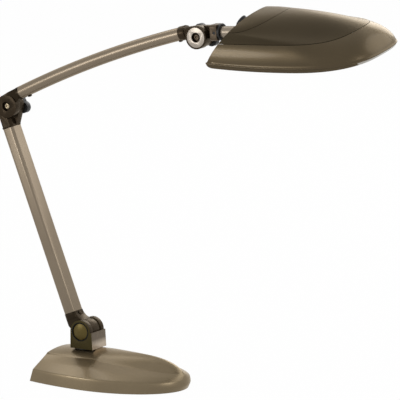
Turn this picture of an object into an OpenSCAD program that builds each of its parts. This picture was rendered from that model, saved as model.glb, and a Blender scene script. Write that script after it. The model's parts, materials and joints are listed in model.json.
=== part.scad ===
// Desk lamp: weighted base, swivelling turret, two hinged arms and a long shell-shaped head.
// Millimetres. +X is the way the head points, +Z is up, the origin lies on the table under the swivel.

/* [Pose] */
// Lean of the lower arm behind the vertical, degrees
lower_lean = 21.83; // [14:0.01:28]
// Rise of the upper arm above the horizontal, degrees
upper_rise = 21.97; // [10:0.01:34]
// Nose-up pitch of the head, degrees
head_pitch = 5; // [-10:0.5:15]
// Roll of the head about its neck, near side down, degrees
head_roll = 8; // [-10:0.5:20]
// Turn of the elbow knob, degrees
elbow_knob_turn = -44; // [-60:1:60]
// Turn of the head knob, degrees
head_knob_turn = -57; // [-60:1:60]

/* [Base] */
// Reach of the base in front of the swivel
base_front = 195; // [187:1:205]
// Reach of the base behind the swivel
base_back = 66; // [61:1:72]
// Half width of the base at its widest
base_half = 91; // [88:1:100]
// Half width of the base at its cut-off back
base_back_half = 77; // [74:1:84]
// Distance of the widest place in front of the swivel
base_wide_x = 46; // [40:1:54]
// Height of the skirt at the sides
skirt_h = 20; // [17:0.5:21]
// Height of the skirt at the nose
skirt_nose_h = 9.5; // [7.5:0.5:11.5]
// Half width of the raised hood
hood_half = 40; // [36:0.5:44]
// Height of the hood's foot at the sides
hood_h = 42.5; // [41.5:0.25:43.5]
// Distance in front of the swivel where the crown starts to fall
dome_start = 92; // [84:1:100]
// Height of the crease round the hood
hood_step = 1; // [0.6:0.1:1.6]
// Rise of the crown above the crease
crown_rise = 10.5; // [9.5:0.5:11.5]
// Wall of the base shell
base_wall = 3; // [2.4:0.1:3.6]
// Thickness of the pad under the base
pad_t = 1.5; // [1:0.1:2]
// Thickness of the bottom plate
plate_t = 2; // [1.5:0.1:2.5]
// Thickness of the cast weight
weight_t = 21; // [18:0.5:22]
// Length of the ballast box
ballast_l = 74; // [62:1:78]
// Width of the ballast box
ballast_w = 56; // [46:1:62]
// Height of the ballast box
ballast_h = 24; // [18:0.5:26]
// Bore of the cord inlet
inlet_bore = 6.5; // [5:0.5:7.5]

/* [Turret] */
// Diameter of the hollow swivel post
post_d = 14; // [12:0.5:16]
// Bore of the swivel post
post_bore = 10; // [8:0.5:11]
// Wall of the swivel bush
bush_wall = 3; // [2:0.25:4]
// Diameter of the bush flange
flange_d = 42; // [38:1:45]
// Thickness of the bush flange
flange_t = 1.5; // [1:0.1:2]
// Reach of the turret's foot in front of the swivel
turret_front = 24.5; // [24:0.25:27]
// Reach of the turret's front wall at the hinge
turret_lip = 22.5; // [22:0.25:23.5]
// Width of the turret across the lamp
turret_w = 44; // [42:0.5:48]
// Height of the hinge above the turret's foot
pivot_h = 29; // [28:0.5:32]
// Radius of the turret's round cheeks
cheek_r = 19.5; // [19:0.25:20.5]
// Thickness of each cheek
cheek_t = 9.5; // [9:0.25:10]
// Thickness of the turret's floor
turret_floor = 8; // [7:0.5:9]
// Diameter of the domed pivot caps
cap_d = 28; // [24:0.5:29]
// Depth of the recess that holds a pivot cap
cap_recess = 2.5; // [2:0.25:3]

/* [Arms] */
// Length of the lower arm between its hinges
lower_len = 400; // [340:1:440]
// Length of the upper arm between its hinges
upper_len = 404; // [340:1:440]
// Distance of both tubes from the line between their hinges
tube_offset = 14.5; // [13:0.5:15.5]
// Width of the flat-sided lower tube
lower_tube_w = 30; // [28:0.5:32]
// Depth of the flat-sided lower tube
lower_tube_d = 22; // [19:0.5:22]
// Corner radius of the lower tube
lower_tube_r = 6; // [4:0.5:8]
// Diameter of the upper tube
upper_tube_d = 22; // [20:0.5:24]
// Height of the upper tube's arch
upper_tube_sag = 8; // [4:0.5:12]
// Wall of both tubes
tube_wall = 1.6; // [1.2:0.1:2]
// Diameter of the wire inside the arms
wire_d = 6; // [5:0.25:6.5]

/* [Joints] */
// Radius of the lower arm's barrel
barrel_r = 18.5; // [17.5:0.25:19]
// Length of the neck between the lower hinge and the tube
knuckle_neck = 36; // [33:0.5:40]
// Radius of the near cheeks on the upper arm
drum_r = 19.5; // [18.5:0.25:20.5]
// Distance of the near cheek's outer face from the middle plane
drum_out = 18; // [16.5:0.25:20]
// Distance of the near cheek's inner face from the middle plane
drum_in = 4; // [3:0.25:5]
// Radius of the far laps
lap_r = 18; // [17:0.25:18.5]
// Thickness of the far laps
lap_t = 13.5; // [12:0.25:14.5]
// Distance from an elbow or head hinge to the upper tube's end
tube_gap = 27; // [26:0.5:32]
// Distance from the elbow to the lower tube's end
elbow_gap = 35; // [35:0.5:42]
// Diameter of the hinge bolts
bolt_d = 8; // [6:0.5:9]
// Diameter of the counterbore for a bolt head
counterbore_d = 16; // [14.5:0.5:18]
// Thickness of the friction washers
washer_t = 0.8; // [0.6:0.1:1.2]
// Radius of the tension knobs over their lobes
knob_r = 24; // [22:0.5:25]
// Thickness of the tension knobs
knob_t = 14; // [13:0.5:17]
// Number of lobes on a tension knob
knob_lobes = 2; // [2:1:5]
// Diameter of the pale disc on the head joint
disc_d = 34; // [31:0.5:36]

/* [Neck] */
// Distance from the head hinge to the end of the neck bracket
neck_l = 38; // [37:0.5:41]
// Height of the neck above the head hinge
neck_up = 7; // [5:0.5:9]
// Height and width of the neck bracket
neck_size = 27; // [25:0.5:28]
// Diameter of the neck tube
neck_tube_d = 20; // [18:0.5:21]
// Diameter of the dark neck collar
collar_d = 28; // [25:0.5:30]
// Length of the dark neck collar
collar_l = 5; // [4:0.5:7]

/* [Head] */
// Length of the head from its back corner to the nose
head_len = 290; // [285:1:300]
// Half width of the head at its widest
head_half = 95; // [92:1:98]
// Half width of the head at its back
head_back_half = 87; // [84:1:90]
// Height of the head's widest section
head_h = 70; // [68:0.5:73]
// Height of the crown at the back edge
head_back_h = 70; // [68:0.5:72]
// Height of the crown on the middle line
crown_h = 70; // [68:0.5:72]
// Forward slope of the back edge, run over rise
head_rake = 0.83; // [0.7:0.01:0.9]
// Distance from the head hinge to the back corner
head_gap = 55.5; // [53:0.5:59]
// Height of the neck above the back corner
neck_rise = 33.5; // [32:0.5:35]
// Drop of the shade's edge at the sides below the back corner
rim_drop = 2.5; // [1:0.5:4]
// Rise of the shade's edge at the nose above the back corner
nose_rise = 1.5; // [0:0.5:4]
// How far the bezel is tucked in behind the nose
nose_tuck = 8; // [6:0.5:12]
// Depth of the bezel below the shade's edge at the sides
bezel_h = 6; // [5:0.25:7]
// Wall of the head's shells
head_wall = 2.6; // [2:0.1:3]
// Stand-out of the bead along the shade's edge
bead_out = 1; // [0.6:0.1:1.4]
// Height of the bead along the shade's edge
bead_h = 1.6; // [1.2:0.1:2.4]
// Width of the grooves between the head's shells
seam_gap = 0.8; // [0.5:0.1:0.9]
// Thickness of the rear wall and the chassis
sheet_t = 2.5; // [2:0.1:3]
// Distance of the rear wall inside the back edge
rear_inset = 5; // [4:0.5:7]
// Diameter of the dimmer knob
dimmer_d = 22; // [18:0.5:24]
// Height of the dimmer knob
dimmer_h = 11; // [9:0.5:13]
// Distance of the dimmer from the middle plane
dimmer_y = 18; // [15:0.5:21]
// Height of the dimmer above the back corner
dimmer_z = 50; // [48:0.5:51]

/* [Lamp] */
// Length of the glass tubes
lamp_len = 200; // [170:1:206]
// Diameter of the glass tubes
lamp_d = 17.5; // [15:0.5:18]
// Spacing of the two glass tubes
lamp_pitch = 20.5; // [20:0.25:22]
// Half width of the reflector's mouth
reflector_half = 62; // [54:0.5:64]
// Thickness of the reflector sheet
reflector_t = 1; // [0.8:0.1:1.2]
// Thickness of the diffuser
diffuser_t = 2; // [1.6:0.1:2.4]
// Depth of the diffuser's belly
diffuser_belly = 9; // [5:0.5:11]

/* [Clearances] */
// Radial running clearance of shafts and bolts
fit_clear = 0.05; // [0.03:0.01:0.08]
// Gap between flat faces that slide on each other
face_clear = 0.1; // [0.05:0.05:0.2]
// Gap round panels, caps and inserts
panel_clear = 0.4; // [0.3:0.05:0.6]

/* [Hidden] */
$fn = 64;
eps = 0.01;

// Finishes, as they look from a step away.
pewter = "#8f877a";
bronze = "#5b4d3c";
charcoal = "#2b2a29";
satin = "#c3c1bc";
steel = "#9a9c9f";
brass = "#b8964a";
opal = "#efece4";

// Base: heights of its layers, from the table up.
plate_z = pad_t;
weight_z = plate_z + plate_t;
weight_top = weight_z + weight_t;
skirt_z = 1;
skirt_draft = 2;
shoulder_in = 5.5;
shoulder_up = 3.5;
slope_in = 27;
slope_up = 14.5;
slope_back_in = 21;
slope_back_up = 12.5;
foot_tuck = 4;
skirt_lip = 0.5;
dome_power = 2.5;
shoulder_turn = 8;
slope_turn = 16;
crease_turn = 22;
crease_rise = 0.85;
shoulder_rise = 1.5;
crown_turn = 1.3;
crease_back_drop = 0.5;
base_rake = 0.24;
hood_draft = 1.5;
edge_back_up = 1.5;
crown_back_rise = 4;
base_points = 48;
crown_steps = 8;
crown_top = hood_h + hood_step + crown_rise;
seat_top = crown_top - 2;
pad_inset = 10;
plate_inset = base_wall + 1;
weight_inset = 22;
weight_front = 58;
boss_d = 40;
boss_top = hood_h + hood_step;
nut_pocket_d = 38;
nut_pocket_h = 12;
screw_d = 4;
screw_hole_h = 20;
screw_head_d = 8;
screw_head_h = 2.4;
ballast_x = weight_front + 6;
foot_screw_x = 36;
foot_screw_back = -25;
foot_screw_y = 45;
inlet_d = inlet_bore + 5;
inlet_flange_d = inlet_d + 3;
inlet_z = weight_z + inlet_flange_d / 2 + 1;
inlet_lip = 2;
back_inset = 2.5;
back_len = sqrt(1 + base_rake * base_rake);
inlet_back = -base_back + back_inset + base_rake * (inlet_z - inlet_flange_d / 2) - face_clear;
inlet_inner = inlet_back + base_wall + 6;
panel_inner = -base_back + back_inset + base_rake * (weight_z + weight_t) + base_wall * back_len;
weight_back = max(inlet_inner, panel_inner) + 1;
panel_low = weight_z + base_wall * base_rake + face_clear;

// Turret: its foot runs on the bush flange.
bush_d = post_d + 2 * bush_wall;
flange_z = seat_top;
turret_z = flange_z + flange_t + face_clear;
pivot_z = turret_z + pivot_h;
slot_w = turret_w - 2 * cheek_t;
slot_clear = 0.8;
slot_front = barrel_r + slot_clear;
sweep_gap = 0.3;
turret_sweep = sqrt(pow(turret_front, 2) + pow(turret_w / 2, 2)) + 1;
washer_y = slot_w / 2 - face_clear;
pivot_washer_t = 0.5;
barrel_half = washer_y - pivot_washer_t;
bolt_head_h = 4;
head_pocket_d = bolt_d * 1.5 + 3;
head_pocket_h = bolt_head_h + 0.3;
cap_rim = 1.6;
cap_dome = 2.6;
post_top = turret_z + turret_floor;
pocket_top = weight_z + nut_pocket_h;
spring_t = 1.4;
nut_h = 6;
nut_af = post_d * 1.55;

// Arms: hinge points and frames.
P0 = [0, 0, pivot_z];
P1 = P0 + lower_len * [-sin(lower_lean), 0, cos(lower_lean)];
P2 = P1 + upper_len * [cos(upper_rise), 0, sin(upper_rise)];
plug_l = 28;
plug_clear = 0.3;
wire_bore = wire_d + 1;
wire_inset = 10;
lower_top = lower_len - elbow_gap;
knuckle_fillet = 22;
knuckle_heel = 16;
knuckle_collar = knuckle_neck - 10;
knuckle_screw_z = knuckle_neck - 5;
tube_back = -tube_offset - lower_tube_d / 2;
tube_front = -tube_offset + lower_tube_d / 2;
rib_h = 3;
rib_out = 0.8;
elbow_screw_z = lower_top + rib_h + 3.5;
shoulder_drop = 8;
sweep_clear = 1.5;
tube_r = upper_tube_d / 2;
chord = upper_len - 2 * tube_gap;
arc_r = (chord * chord / 4 + upper_tube_sag * upper_tube_sag) / (2 * upper_tube_sag);
arc_half = asin(chord / 2 / arc_r);
arm_screw_in = 13;
arm_screw_d = 4;
arm_screw_head_d = 7;
arm_screw_head_h = 2.4;
arm_screw_depth = 6;
fitting_collar = 6;
sleeve_l = 9;
sleeve_t = 0.8;

// Lap joints, from the near face to the far knob.
head_seat = -drum_out + 6;
lap_near = -drum_in + washer_t + face_clear;
lap_far = lap_near + lap_t;
knob_spring_near = lap_far + face_clear;
knob_spring_t = 1;
knob_near = knob_spring_near + knob_spring_t;
knob_far = knob_near + knob_t;
knob_lobe_r = 10;
knob_core_r = knob_r * 0.64;
knob_cap = 2.5;
insert_l = 7;
insert_af = bolt_d * 1.6;
bolt_far = knob_near + insert_l + 2;
joint_bolt_head_d = counterbore_d - 4.5;
joint_bolt_head_h = 4.5;
disc_t = 2.2;
disc_recess = 2;

// Neck and head.
neck_half = neck_size / 2;
neck_start = max(drum_r, knob_r) + sweep_clear;
neck_tube_start = neck_start + 3;
neck_tube_wall = 1.5;
set_screw_d = 5;
set_screw_x = neck_start + 7.5;
rake_angle = atan(head_rake);
rake_len = sqrt(1 + head_rake * head_rake);
head_points = 48;
nose_share = 0.62;
corner_back = 1;
corner_rise = 4;
back_curve = 1.25;
rear_foot_top = 9;
rear_foot_low = -3;
rear_foot_half = head_back_half - head_wall - 2;
rear_points = 32;
bezel_nose_z = -4;
bezel_corner_x = 16;
bezel_corner_z = -4;
bezel_steps = 3;
side_power = 2.58;
nose_power = 2.1;
crown_start = 80;
rim_wide = 172;

// Side angle, nose angle, widest station, share of back section, plan power and rise power of each outline.
rim_key = [0, 0, rim_wide, 0, 3, 1.6];
outer_seam = [25.8, 35.2, 155, 0.38, 2.3, 6.4];
inner_seam = [42.8, 82.3, 46, 1, 2.1, 2];
spine_key = [90, 90, 65, 1, 2, 2];
shade_steps = 6;
panel_steps = 6;
cap_steps = 5;
seam_side = seam_gap / 2 / (head_h + rim_drop) * 180 / PI;
seam_nose = seam_gap / 2 / (head_len - crown_start) * 180 / PI;

// Inside of the head.
chassis_top = -neck_tube_d / 2 - 0.2;
chassis_low = chassis_top - sheet_t;
chassis_half = 46;
rear_sheet_x = sheet_t * rake_len;
chassis_back = head_gap + rear_inset + rear_sheet_x + head_rake * (neck_rise + chassis_top) + 0.3;
chassis_reach = 240;
chassis_front = head_gap + chassis_reach;
holder_l = 15;
holder_w = 52;
holder_h = 20;
holder_x = chassis_back + 2;
cap_x = holder_x + holder_l;
cap_l = 13;
cap_w = lamp_pitch + lamp_d + 3;
cap_h = lamp_d + 1.5;
pin_d = 2.4;
pin_l = 5;
lamp_x = cap_x + cap_l;
lamp_z = chassis_low - reflector_t - panel_clear - cap_h / 2;
reflector_back = cap_x + 1;
reflector_front = lamp_x + lamp_len + 6;
reflector_top_half = 30;
reflector_drop = 19;
reflector_skew = 1.3;
clamp_l = 14;
clamp_t = 2;
clamp_x = head_gap + rear_inset + rear_sheet_x + head_rake * (neck_rise + neck_tube_d / 2 + clamp_t) + 2;
neck_tube_end = clamp_x + clamp_l + 8;
clamp_foot = 9;
post_x = [head_gap + 120, head_gap + 205];
shade_post_d = 8;
post_clear = 1.2;
diffuser_stations = 24;
diffuser_columns = 8;
diffuser_lift = 2.5;
diffuser_tip = 0.035;

// Dimmer.
dimmer_body = 11;
dimmer_body_h = 11;
dimmer_bush_d = 9;
dimmer_shaft_d = 6;
dimmer_nut_h = 2.4;
dimmer_nut_d = 14;
dimmer_knob_gap = 0.8;

// One point of a U-shaped outline: a rounded nose whose sides draw in to a cut-off back, q from -1 to 1.
// v = half width, side z, nose x, nose z, back x, back half width, back z, widest x, plan power, rise power.
function outline_point(v, q) =
    let (
        a = abs(q),
        turn = 90 * min(a / nose_share, 1),
        t = max(a - nose_share, 0) / (1 - nose_share),
        c = a < nose_share ? pow(cos(turn), 2 / v[8]) : 0,
        s = pow(sin(turn), 2 / v[8])
    )
    [
        v[7] + (v[2] - v[7]) * c + (v[4] - v[7]) * t,
        sign(q) * (v[0] * s + (v[5] - v[0]) * t * t),
        v[1] + (v[3] - v[1]) * pow(c, v[9]) + (v[6] - v[1]) * t * t
    ];

function outline(v, n) = [for (i = [0 : n]) outline_point(v, 2 * i / n - 1)];

function mix(a, b, f) = a + (b - a) * f;

function flat(points) = [for (p = points) [p[0], p[1]]];

// Outlines of the base, from the skirt's edge to the crown, drawn in by t for the inside.
function base_level(half, side_z, nose_x, nose_z, back_half, back_z, rise) =
    [half, side_z, nose_x, nose_z, -base_back + base_rake * back_z, back_half, back_z, base_wide_x, 2, rise];

function base_foot(t) =
    base_level(base_half - t, skirt_z, base_front - foot_tuck - t, skirt_z, base_back_half - t, skirt_z, 2);

// Nose of the outline at one turn of the dome, from the skirt's edge at 0 to the crown at 90.
function dome_nose(turn, t) =
    [
        mix(dome_start, base_front + skirt_lip - t, pow(cos(turn), 2 / dome_power)),
        mix(skirt_nose_h, crown_top, pow(sin(turn), 2 / dome_power)) - t
    ];

function dome_level(half, side_z, turn, t, back_half, back_z, rise) =
    let (nose = dome_nose(turn, t))
    base_level(half, side_z, nose[0], nose[1], back_half, back_z, rise);

function base_levels(t) =
    let (
        half = base_half - t,
        back = base_back_half - t,
        skirt = skirt_h - t,
        hood = hood_half - t,
        foot = hood_h - t,
        edge = hood - hood_draft
    )
    concat(
        [
            base_foot(t),
            dome_level(half - skirt_draft, skirt, 0, t, back - skirt_draft, skirt, 2),
            dome_level(
                half - shoulder_in, skirt + shoulder_up, shoulder_turn, t,
                back - shoulder_in, skirt + shoulder_up, shoulder_rise
            ),
            dome_level(
                half - slope_in, skirt + slope_up, slope_turn, t,
                back - slope_back_in, skirt + slope_back_up, crease_rise
            ),
            dome_level(hood, foot, crease_turn, t, hood, foot - crease_back_drop, crease_rise)
        ],
        [
            for (i = [0 : crown_steps])
                let (
                    f = i / crown_steps,
                    half = edge * (1 - f),
                    up = 1 - (1 - f) * (1 - f),
                    turn = mix(crease_turn + 1, 90, pow(f, crown_turn))
                )
                dome_level(
                    half, foot + hood_step + crown_rise * up, turn, t,
                    half, foot + edge_back_up + crown_back_rise * up, mix(crease_rise, 2, f * f)
                )
        ]
    );

// Outlines of the head, drawn in by t for the inside. The rim has its own back corner.
function head_level(key, t, rim, out, up) =
    let (
        c = pow(max(cos(key[0]), 0), 2 / side_power),
        s = pow(sin(key[0]), 2 / side_power),
        cn = pow(max(cos(key[1]), 0), 2 / nose_power),
        sn = pow(sin(key[1]), 2 / nose_power),
        back_z = rim ? corner_rise : (head_back_h - t) * s,
        back_x = rim ? corner_back : head_rake * head_back_h * pow(back_z / head_back_h, back_curve),
        back_half = (head_back_half - t) * c,
        side = -rim_drop + (head_h - t + rim_drop) * s,
        nose_x = mix(crown_start, head_len - t, cn)
    )
    [
        mix((head_half - t) * c, back_half, key[3]) + out,
        mix(side, back_z, key[3]) + up,
        nose_x + out,
        mix(nose_rise, crown_h - t, sn) + up,
        back_x,
        back_half + out,
        back_z + up,
        max(key[2], back_x),
        key[4],
        key[5]
    ];

function key_levels(from, to, steps, first, t) =
    [for (i = [first : steps]) head_level(mix(from, to, i / steps), t, false, 0, 0)];

function rim_levels(t) =
    let (out = t > 0 ? 0 : bead_out)
    [
        head_level(rim_key, t, true, out, 0),
        head_level(rim_key, t, true, out, bead_h),
        head_level(rim_key, t, true, 0, bead_h + bead_out)
    ];

function below_seam(key) = key - [seam_side, seam_nose / sin(key[1]), 0, 0, 0, 0];

function above_seam(key) = key + [seam_side, seam_nose / sin(key[1]), 0, 0, 0, 0];

function shade_levels(t) =
    concat(rim_levels(t), key_levels(rim_key, below_seam(outer_seam), shade_steps, 1, t));

function panel_levels(t) = key_levels(above_seam(outer_seam), below_seam(inner_seam), panel_steps, 0, t);

function cap_levels(t) = key_levels(above_seam(inner_seam), spine_key, cap_steps, 0, t);

// Outlines of the bezel, rolled in from the shade's edge to its own flatter foot.
function bezel_foot(t) =
    [
        head_half - bead_out - t, -rim_drop - bezel_h, head_len - nose_tuck - t, bezel_nose_z,
        bezel_corner_x, head_back_half - bead_out - t, bezel_corner_z, rim_wide, rim_key[4], rim_key[5]
    ];

function bezel_levels(t) =
    let (top = head_level(rim_key, t, true, -bead_out / 2, -panel_clear), foot = bezel_foot(t))
    [
        for (i = [0 : bezel_steps])
            let (a = 90 * i / bezel_steps, out = sin(a), up = 1 - cos(a))
            [for (k = [0 : 9]) mix(foot[k], top[k], k == 1 || k == 3 || k == 6 ? up : out)]
    ];

// Height of the crown's inside on the middle line, x from the back corner.
function crown_inside(x) =
    let (c = (x - crown_start) / (head_len - head_wall - crown_start))
    mix(nose_rise, crown_h - head_wall, pow(1 - pow(c, nose_power), 1 / nose_power));

// A shell between two stacks of outlines. A zipped shell closes along its last outline.
module loft_shell(outer, inner, zipped) {
    rows = len(outer);
    n = len(outer[0]);
    wide = rows * n;
    function at(i, j) = i * n + (zipped && i == rows - 1 ? min(j, n - 1 - j) : j);
    function quad(a, b, c, d) = [[a, b, c], [a, c, d]];
    function both(a, b, c, d) = concat(quad(a, b, c, d), quad(wide + d, wide + c, wide + b, wide + a));
    function rim(a, b) = quad(a, b, wide + b, wide + a);
    faces = [
        for (i = [0 : rows - 2])
            for (j = [0 : n - 2])
                each both(at(i, j), at(i + 1, j), at(i + 1, j + 1), at(i, j + 1)),
        for (j = [0 : n - 2])
            each rim(at(0, j), at(0, j + 1)),
        if (!zipped)
            for (j = [0 : n - 2])
                each rim(at(rows - 1, j + 1), at(rows - 1, j)),
        for (i = [0 : rows - 2])
            each rim(at(i + 1, 0), at(i, 0)),
        for (i = [0 : rows - 2])
            each rim(at(i, n - 1), at(i + 1, n - 1))
    ];
    solid = [for (f = faces) if (f[0] != f[1] && f[1] != f[2] && f[2] != f[0]) f];
    polyhedron(concat([for (row = outer) each row], [for (row = inner) each row]), solid);
}

// Frames that the arms and the head are drawn in.
module turret_frame() { translate([0, 0, turret_z]) children(); }

module lower_frame() { translate(P0) rotate([0, -lower_lean, 0]) children(); }

module lower_tube_frame() { lower_frame() translate([-tube_offset, 0, 0]) children(); }

module upper_frame() { translate(P1) rotate([0, -upper_rise, 0]) children(); }

module head_end() { upper_frame() translate([upper_len, 0, 0]) children(); }

module head_frame() { translate(P2) rotate([0, -head_pitch, 0]) children(); }

module neck_frame() { head_frame() translate([0, 0, neck_up]) children(); }

module roll_frame() { neck_frame() rotate([head_roll, 0, 0]) children(); }

module shell_frame() { roll_frame() translate([head_gap, 0, -neck_rise]) children(); }

// On the outer face of the base's rear panel: x to the near side, y up the slope, z out of the base.
module back_face() {
    translate([-base_back + back_inset, 0, 0]) rotate([0, atan(base_rake) - 90, 0])
        rotate([0, 0, -90]) children();
}

// On the rear wall's outer face: x to the near side, y up the slope, z out of the head.
module rear_face() {
    shell_frame() translate([rear_inset, 0, 0]) rotate([0, rake_angle - 90, 0])
        rotate([0, 0, -90]) children();
}

module at_dimmer() { rear_face() translate([dimmer_y, dimmer_z * rake_len, 0]) children(); }

// At the upper tube's end, along its first tangent.
module at_tube_end() { translate([tube_gap, 0, tube_offset]) rotate([0, -arc_half, 0]) children(); }

// Primitive shapes along the other axes.
module y_cylinder(r, from, to) { translate([0, from, 0]) rotate([-90, 0, 0]) cylinder(h = to - from, r = r); }

module x_cylinder(r, from, to) { translate([from, 0, 0]) rotate([0, 90, 0]) cylinder(h = to - from, r = r); }

module y_plate(from, to) { translate([0, to, 0]) rotate([90, 0, 0]) linear_extrude(to - from) children(); }

module y_hexagon(af, from, to) {
    translate([0, from, 0]) rotate([-90, 0, 0]) cylinder(h = to - from, r = af / sqrt(3), $fn = 6);
}

module ring(outer_d, inner_d, h) {
    linear_extrude(h) difference() {
        circle(d = outer_d);
        circle(d = inner_d);
    }
}

module y_ring(outer_d, inner_d, from, to) {
    translate([0, from, 0]) rotate([-90, 0, 0]) ring(outer_d, inner_d, to - from);
}

module box(x, y, z) { translate([x[0], y[0], z[0]]) cube([x[1] - x[0], y[1] - y[0], z[1] - z[0]]); }

// Rounded rectangle, d along x and w along y.
module oval(d, w, r) {
    square([d - 2 * r, w], center = true);
    square([d, w - 2 * r], center = true);
    for (x = [-1, 1], y = [-1, 1])
        translate([x * (d / 2 - r), y * (w / 2 - r)]) circle(r);
}

module tube_oval(grow) {
    oval(lower_tube_d + 2 * grow, lower_tube_w + 2 * grow, max(lower_tube_r + grow, 1));
}

// Pan-head screw, head up at z = 0, shank down.
module pan_screw(d, head_d, head_h, l) {
    translate([0, 0, -l]) cylinder(h = l + head_h / 2, d = d);
    intersection() {
        cylinder(h = head_h, d = head_d);
        translate([0, 0, head_h - head_d]) sphere(head_d);
    }
}

// Base

module base_print(inset) { polygon(flat(outline(base_foot(inset), base_points))); }

module foot_screw_places() {
    for (x = [-1, 1], y = [-1, 1])
        translate([x > 0 ? foot_screw_x : foot_screw_back, y * foot_screw_y, 0]) children();
}

module ballast_screw_places() {
    for (x = [0.2, 0.8])
        translate([ballast_x + x * ballast_l, 0, 0]) children();
}

module non_slip_pad() {
    color(charcoal) linear_extrude(pad_t) difference() {
        base_print(pad_inset);
        foot_screw_places() circle(d = screw_head_d + 2);
        ballast_screw_places() circle(d = screw_head_d + 2);
    }
}

module base_plate() {
    color(steel) translate([0, 0, plate_z]) linear_extrude(plate_t) difference() {
        base_print(plate_inset);
        foot_screw_places() circle(d = screw_d + 2 * fit_clear);
        ballast_screw_places() circle(d = screw_d + 2 * fit_clear);
    }
}

module base_weight() {
    color(charcoal) difference() {
        union() {
            translate([0, 0, weight_z]) linear_extrude(weight_t) intersection() {
                base_print(weight_inset);
                translate([weight_back, -base_half]) square([weight_front - weight_back, 2 * base_half]);
            }
            translate([0, 0, weight_z]) cylinder(h = boss_top - weight_z, d = boss_d);
        }
        cylinder(h = boss_top + 1, d = bush_d + 2 * fit_clear);
        cylinder(h = pocket_top, d = nut_pocket_d);
        foot_screw_places() cylinder(h = weight_z + 12, d = screw_d + 2 * fit_clear);
    }
}

module ballast() {
    color(steel) difference() {
        box(
            [ballast_x, ballast_x + ballast_l], [-ballast_w / 2, ballast_w / 2],
            [weight_z, weight_z + ballast_h]
        );
        ballast_screw_places() cylinder(h = weight_z + 10, d = screw_d + 2 * fit_clear);
    }
}

module plate_screw() {
    translate([0, 0, plate_z]) rotate([180, 0, 0]) pan_screw(screw_d, screw_head_d, pad_t - 0.3, plate_t + 8);
}

module base_screws() {
    color(steel) {
        foot_screw_places() plate_screw();
        ballast_screw_places() plate_screw();
    }
}

module base_shell() {
    outer = [for (v = base_levels(0)) outline(v, base_points)];
    inner = [for (v = base_levels(base_wall)) outline(v, base_points)];
    color(pewter) difference() {
        loft_shell(outer, inner, true);
        cylinder(h = seat_top + crown_rise, d = bush_d + 2 * panel_clear);
        translate([0, 0, seat_top]) cylinder(h = crown_rise, d = flange_d + 2 * panel_clear);
        translate([0, 0, turret_z - sweep_gap]) cylinder(h = crown_rise, r = turret_sweep);
    }
}

// The panel follows the inside of the shell's cut-off back.
module base_rear_panel() {
    sides = [for (v = base_levels(base_wall + panel_clear)) [v[5], max(v[6], panel_low)]];
    print = concat(
        [for (p = sides) [p[0], p[1] * back_len]],
        [for (i = [len(sides) - 2 : -1 : 0]) [-sides[i][0], sides[i][1] * back_len]]
    );
    color(pewter) difference() {
        back_face() translate([0, 0, -base_wall]) linear_extrude(base_wall) polygon(print);
        translate([0, 0, inlet_z]) x_cylinder(inlet_d / 2 + fit_clear, -base_back - 10, -base_back + 20);
    }
}

module cord_inlet() {
    color(charcoal) translate([0, 0, inlet_z]) difference() {
        union() {
            x_cylinder(inlet_d / 2, inlet_back - inlet_lip, inlet_inner);
            x_cylinder(inlet_flange_d / 2, inlet_back - inlet_lip, inlet_back);
        }
        x_cylinder(inlet_bore / 2, inlet_back - 10, inlet_inner + 1);
    }
}

module swivel_bush() {
    color(charcoal) difference() {
        union() {
            translate([0, 0, flange_z]) cylinder(h = flange_t, d = flange_d);
            translate([0, 0, pocket_top]) cylinder(h = flange_z - pocket_top + eps, d = bush_d);
        }
        cylinder(h = flange_z + 10, d = post_d + 2 * fit_clear);
    }
}

// Turret

module turret_side() {
    translate([0, pivot_h]) circle(cheek_r);
    polygon([[-cheek_r, 0], [turret_front, 0], [turret_lip, pivot_h], [-cheek_r, pivot_h]]);
}

module turret_housing() {
    high = pivot_h + cheek_r + 1;
    half = slot_w / 2;
    color(pewter) turret_frame() difference() {
        y_plate(-turret_w / 2, turret_w / 2) turret_side();
        box([-turret_front, slot_front], [-half, half], [turret_floor, high]);
        box([slot_front - eps, turret_front], [-half, half], [pivot_h, high]);
        translate([0, 0, -1]) cylinder(h = turret_floor + 2, d = post_d + 2 * fit_clear);
        translate([0, 0, pivot_h]) {
            y_cylinder(bolt_d / 2 + fit_clear, -turret_w, turret_w);
            for (side = [0, 180])
                rotate([0, 0, side]) {
                    y_cylinder(cap_d / 2 + 1.5, turret_w / 2 - cap_recess, turret_w);
                    y_cylinder(head_pocket_d / 2, turret_w / 2 - cap_recess - head_pocket_h, turret_w);
                }
        }
    }
}

module swivel_post() {
    low = pocket_top - spring_t - nut_h - 2;
    color(steel) translate([0, 0, low]) ring(post_d, post_bore, post_top - low);
}

module swivel_spring_washer() {
    color(steel) translate([0, 0, pocket_top - face_clear - spring_t])
        ring(bush_d + 8, post_d + 2 * fit_clear, spring_t);
}

module swivel_nut() {
    nut_z = pocket_top - face_clear - spring_t - nut_h;
    color(steel) translate([0, 0, nut_z]) linear_extrude(nut_h) difference() {
        circle(nut_af / sqrt(3), $fn = 6);
        circle(d = post_d + 2 * fit_clear);
    }
}

module pivot_bolt() {
    seat = -turret_w / 2 + cap_recess + head_pocket_h;
    color(steel) translate(P0) {
        y_hexagon(bolt_d * 1.5, seat - bolt_head_h, seat);
        y_cylinder(bolt_d / 2, seat - eps, -seat + bolt_head_h);
    }
}

module pivot_nut() {
    seat = turret_w / 2 - cap_recess - head_pocket_h;
    color(steel) translate(P0) difference() {
        y_hexagon(bolt_d * 1.5, seat, seat + bolt_head_h);
        y_cylinder(bolt_d / 2 + fit_clear, seat - 1, seat + bolt_head_h + 1);
    }
}

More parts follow.
